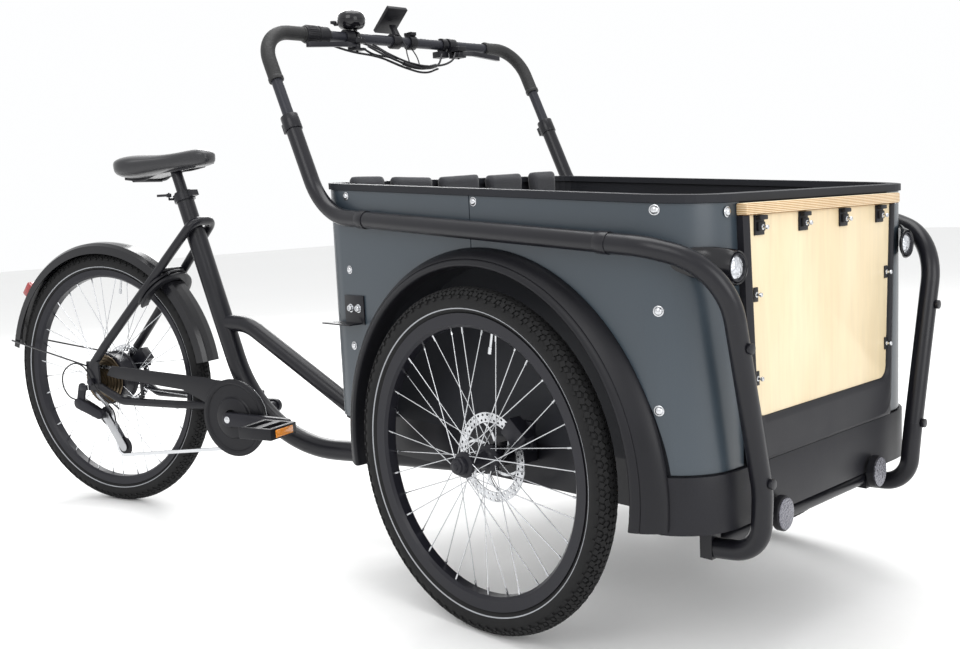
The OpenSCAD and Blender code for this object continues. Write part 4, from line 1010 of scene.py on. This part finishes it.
def saddle_skin(u, v):
    """The saddle's skin: u runs round it and v along it, with a shallow channel down its wide part."""
    x, half, top, bottom = SADDLE[round(v * (len(SADDLE) - 1))]
    across, up = math.cos(u * TURN), math.sin(u * TURN)
    y = half * math.copysign(abs(across) ** 0.72, across)
    middle = (top + bottom) / 2 + 0.006
    if up <= 0:
        return Vector((x, y, middle - (middle - bottom) * abs(up) ** 0.55))
    channel = 0.004 * (1 - min(1, abs(y) / half)) if half > 0.05 else 0
    return Vector((x, y, middle + (top - middle) * up ** 0.8 - channel))


def build_saddle():
    """The padded saddle and the rails under it."""
    bm = bmesh.new()
    loft(bm, 32, len(SADDLE) - 1, saddle_skin)
    bmesh.ops.holes_fill(bm, edges=[e for e in bm.edges if e.is_boundary], sides=0)
    obj = piece(bm, "saddle_pad", ["saddle_cover"], "seat", REAR, ["saddle"], smooth=80)
    fine = obj.modifiers.new("fine", "SUBSURF")
    fine.levels = fine.render_levels = 2
    rails = [[(-0.930, side * 0.016, 0.863), (-0.970, side * 0.022, 0.858), (-1.040, side * 0.028, 0.852),
              (-1.085, side * 0.040, 0.838), (-1.122, side * 0.056, 0.842)] for side in (1, -1)]
    rails.append([(-1.104, y, 0.836) for y in (-0.048, -0.02, 0.02, 0.048)])
    cables("saddle_rails", "black_steel", "seat", REAR, rails, 0.0042)


GUARD_DISC = [(92.6, -66.1), (94, -67), (94, -69), (92.4, -71), (85, -71.6), (81.4, -70.2), (79, -67.6),
              (53, -68), (50, -70), (48, -74), (42, -77), (21.5, -78.2), (21.5, -66.1)]
CRANK_BOLT = [(0, 1.6), (4, 1.6), (5, 0.9), (7.6, 0.8), (8.2, 0.2), (8.2, 0), (0, 0)]
SHIFT_CABLE = [(-1.345, -0.070, 0.276), (-1.378, -0.072, 0.290), (-1.392, -0.074, 0.330),
               (-1.366, -0.076, 0.366), (-1.312, -0.078, 0.372), (-1.262, -0.079, 0.312),
               (-1.190, -0.078, 0.264)]


def cage(centre):
    """Picks out the plates of the derailleur's cage for the second finish."""
    return 1 if -0.056 < (REAR.inverted() @ centre).y < -0.038 else 0


def build_drive(size):
    """Cranks, pedals, chain, sprockets, derailleur and the guard over them."""
    crank = REAR.inverted() @ point("crank_spin")
    crank_centre = REAR @ Matrix.Translation((crank.x, 0, crank.z))
    piece(turned(GUARD_DISC, 96, crank_centre, closed=True), "guard_disc", ["black_plastic"], "rear_frame",
          slot="black_plastic", smooth=25)
    bm = bmesh.new()
    for way in (-1, 1):
        join(bm, turned(CRANK_BOLT, 24, crank_centre @ facing((0, way * 0.0941, 0), (0, way, 0))))
    piece(bm, "crank_bolts", ["steel"], "crank_set", slot="steel")
    refined("derailleur", ["alloy_black", "alloy"], paint=cage)
    cables("shift_cable", "black_plastic", "rear_frame", REAR, [SHIFT_CABLE], size.cable * 0.8)
    refined("chain_guard", ["black_plastic"], edge=0.0012)
    refined("crank_set", ["alloy_black"], edge=0.0025)
    for node in ("guide_pulley", "tension_pulley"):
        refined(node, ["black_plastic"])
    coat("steel", "chain")
    coat("bronze", "cassette")
    for side, sign in (("right", 1), ("left", -1)):
        refined("pedal_" + side, ["black_plastic"], edge=0.002)
        at = REAR.inverted() @ point(f"pedal_{side}_spin")
        bm = bmesh.new()
        for end in (1, -1):
            place = REAR @ Matrix.Translation((at.x + end * 0.0472, -sign * 0.155, at.z))
            block(bm, (0.004, 0.058, 0.017), place, 0.001)
        piece(bm, f"pedal_reflectors_{side}", ["amber"], "pedal_" + side, slot="red_lens")


# ---------- stage ----------

CAMERA_AT = (1.323, -1.610, 0.757)       # from the ground between the front wheels
CAMERA_TURN = (136.70, -6.83, -2.71)     # heading, pitch and roll, in degrees
LENS = 40.005                            # focal length in millimetres

# Each light: where it stands, its power in watts and its width.
LIGHTS = {"key": ((1.2, -4.0, 3.4), 60, 2.6), "top": ((-0.6, 0.4, 4.2), 110, 3.2),
          "front": ((4.2, -0.4, 1.9), 60, 2.4), "rim": ((-3.6, 2.2, 2.6), 90, 2.0)}


def build_stage():
    """Pale floor, white surroundings, soft lights and the camera."""
    scene = bpy.context.scene
    bm = bmesh.new()
    bmesh.ops.create_grid(bm, x_segments=8, y_segments=8, size=14)
    mesh = bpy.data.meshes.new("studio_floor")
    bm.to_mesh(mesh)
    bm.free()
    floor = bpy.data.objects.new("studio_floor", mesh)
    scene.collection.objects.link(floor)
    surface("floor", (0.86, 0.86, 0.855), (0.7, 0.85), 0.015, 0.6, 30, 0.0005, 0.05)
    mesh.materials.append(FINISHES["floor"])
    world = bpy.data.worlds.new("studio")
    world.use_nodes = True
    world.node_tree.nodes["Background"].inputs["Color"].default_value = (0.99, 0.995, 1.0, 1)
    world.node_tree.nodes["Background"].inputs["Strength"].default_value = 1.0
    scene.world = world
    scene.view_settings.view_transform = "Standard"
    aim = FRONT @ Vector((-0.4, 0, 0.5))
    for name, (at, power, width) in LIGHTS.items():
        light = bpy.data.lights.new(name, "AREA")
        light.energy = power
        light.size = width
        lamp = bpy.data.objects.new(name, light)
        start = FRONT @ Vector(at)
        turn = (aim - start).to_track_quat("-Z", "Y").to_matrix().to_4x4()
        lamp.matrix_world = Matrix.Translation(start) @ turn
        scene.collection.objects.link(lamp)
    heading, pitch, roll = (math.radians(a) for a in CAMERA_TURN)
    ahead = Vector((math.cos(heading) * math.cos(pitch), math.sin(heading) * math.cos(pitch),
                    math.sin(pitch)))
    level = Vector((math.sin(heading), -math.cos(heading), 0))
    above = level.cross(ahead)
    right = math.cos(roll) * level + math.sin(roll) * above
    up = -math.sin(roll) * level + math.cos(roll) * above
    view = Matrix((right, up, -ahead)).transposed().to_4x4()
    view.translation = FRONT @ Vector(CAMERA_AT)
    camera = bpy.data.objects.new("camera", bpy.data.cameras.new("camera"))
    camera.matrix_world = view
    camera.data.lens = LENS
    camera.data.sensor_width = 36
    scene.collection.objects.link(camera)
    scene.camera = camera


# ---------- operators and panel ----------

class TRIKE_OT_finishes(bpy.types.Operator):
    """Makes every finish from the chosen colours"""
    bl_idname = "trike.finishes"
    bl_label = "Finishes"

    def execute(self, context):
        make_finishes(context.scene.trike_colours)
        return {"FINISHED"}


class TRIKE_OT_wheels(bpy.types.Operator):
    """Tyres with tread, rims, spokes, hubs and rotors"""
    bl_idname = "trike.wheels"
    bl_label = "Wheels"

    def execute(self, context):
        build_wheels(context.scene.trike_sizes)
        return {"FINISHED"}


class TRIKE_OT_arches(bpy.types.Operator):
    """Wheel arches over the front wheels"""
    bl_idname = "trike.arches"
    bl_label = "Wheel arches"

    def execute(self, context):
        build_arches()
        return {"FINISHED"}


class TRIKE_OT_box(bpy.types.Operator):
    """Box panels, plywood front, mouldings, studs and nuts"""
    bl_idname = "trike.box"
    bl_label = "Box"

    def execute(self, context):
        build_box()
        return {"FINISHED"}


class TRIKE_OT_lamps(bpy.types.Operator):
    """Headlights on the box's corners"""
    bl_idname = "trike.lamps"
    bl_label = "Headlights"

    def execute(self, context):
        build_lamps()
        return {"FINISHED"}


class TRIKE_OT_cushions(bpy.types.Operator):
    """Back cushions, seat pad, bench and battery"""
    bl_idname = "trike.cushions"
    bl_label = "Cushions and bench"

    def execute(self, context):
        build_cushions(context.scene.trike_sizes)
        return {"FINISHED"}


class TRIKE_OT_tubes(bpy.types.Operator):
    """Side tubes and their fittings"""
    bl_idname = "trike.tubes"
    bl_label = "Side tubes"

    def execute(self, context):
        build_tubes()
        return {"FINISHED"}


class TRIKE_OT_handlebar(bpy.types.Operator):
    """Handlebar, grips, levers, shifter, bell and display"""
    bl_idname = "trike.handlebar"
    bl_label = "Handlebar"

    def execute(self, context):
        build_handlebar()
        return {"FINISHED"}


class TRIKE_OT_cables(bpy.types.Operator):
    """Cables along the handlebar"""
    bl_idname = "trike.cables"
    bl_label = "Cables"

    def execute(self, context):
        build_cables(context.scene.trike_sizes)
        return {"FINISHED"}


class TRIKE_OT_rear_frame(bpy.types.Operator):
    """Rear frame, lock, fender, calipers and tail light"""
    bl_idname = "trike.rear_frame"
    bl_label = "Rear frame"

    def execute(self, context):
        build_rear_frame()
        return {"FINISHED"}


class TRIKE_OT_saddle(bpy.types.Operator):
    """Padded saddle"""
    bl_idname = "trike.saddle"
    bl_label = "Saddle"

    def execute(self, context):
        build_saddle()
        return {"FINISHED"}


class TRIKE_OT_drive(bpy.types.Operator):
    """Cranks, pedals, chain, sprockets and derailleur"""
    bl_idname = "trike.drive"
    bl_label = "Drive"

    def execute(self, context):
        build_drive(context.scene.trike_sizes)
        return {"FINISHED"}


class TRIKE_OT_stage(bpy.types.Operator):
    """Floor, soft lights and camera"""
    bl_idname = "trike.stage"
    bl_label = "Stage"

    def execute(self, context):
        build_stage()
        return {"FINISHED"}


STEPS = (TRIKE_OT_finishes, TRIKE_OT_stage, TRIKE_OT_wheels, TRIKE_OT_arches, TRIKE_OT_box, TRIKE_OT_lamps,
         TRIKE_OT_cushions, TRIKE_OT_tubes, TRIKE_OT_handlebar, TRIKE_OT_cables, TRIKE_OT_rear_frame,
         TRIKE_OT_saddle, TRIKE_OT_drive)


class TRIKE_PT_panel(bpy.types.Panel):
    """Lists the tricycle's pieces"""
    bl_idname = "TRIKE_PT_panel"
    bl_label = "Cargo Tricycle"
    bl_space_type = "VIEW_3D"
    bl_region_type = "UI"
    bl_category = "Tricycle"

    def draw(self, context):
        for group in (context.scene.trike_colours, context.scene.trike_sizes):
            for key in group.__annotations__:
                self.layout.prop(group, key)
        for step in STEPS:
            self.layout.operator(step.bl_idname)


CLASSES = (TrikeColours, TrikeSizes, *STEPS, TRIKE_PT_panel)


def register():
    """Adds the classes, and the colours and sizes to the scene."""
    for cls in CLASSES:
        bpy.utils.register_class(cls)
    bpy.types.Scene.trike_colours = PointerProperty(type=TrikeColours)
    bpy.types.Scene.trike_sizes = PointerProperty(type=TrikeSizes)


def unregister():
    """Takes them away again."""
    del bpy.types.Scene.trike_colours
    del bpy.types.Scene.trike_sizes
    for cls in reversed(CLASSES):
        bpy.utils.unregister_class(cls)


def main():
    """Builds everything."""
    register()
    for step in STEPS:
        group, name = step.bl_idname.split(".")
        getattr(getattr(bpy.ops, group), name)()


if __name__ == "__main__":
    main()
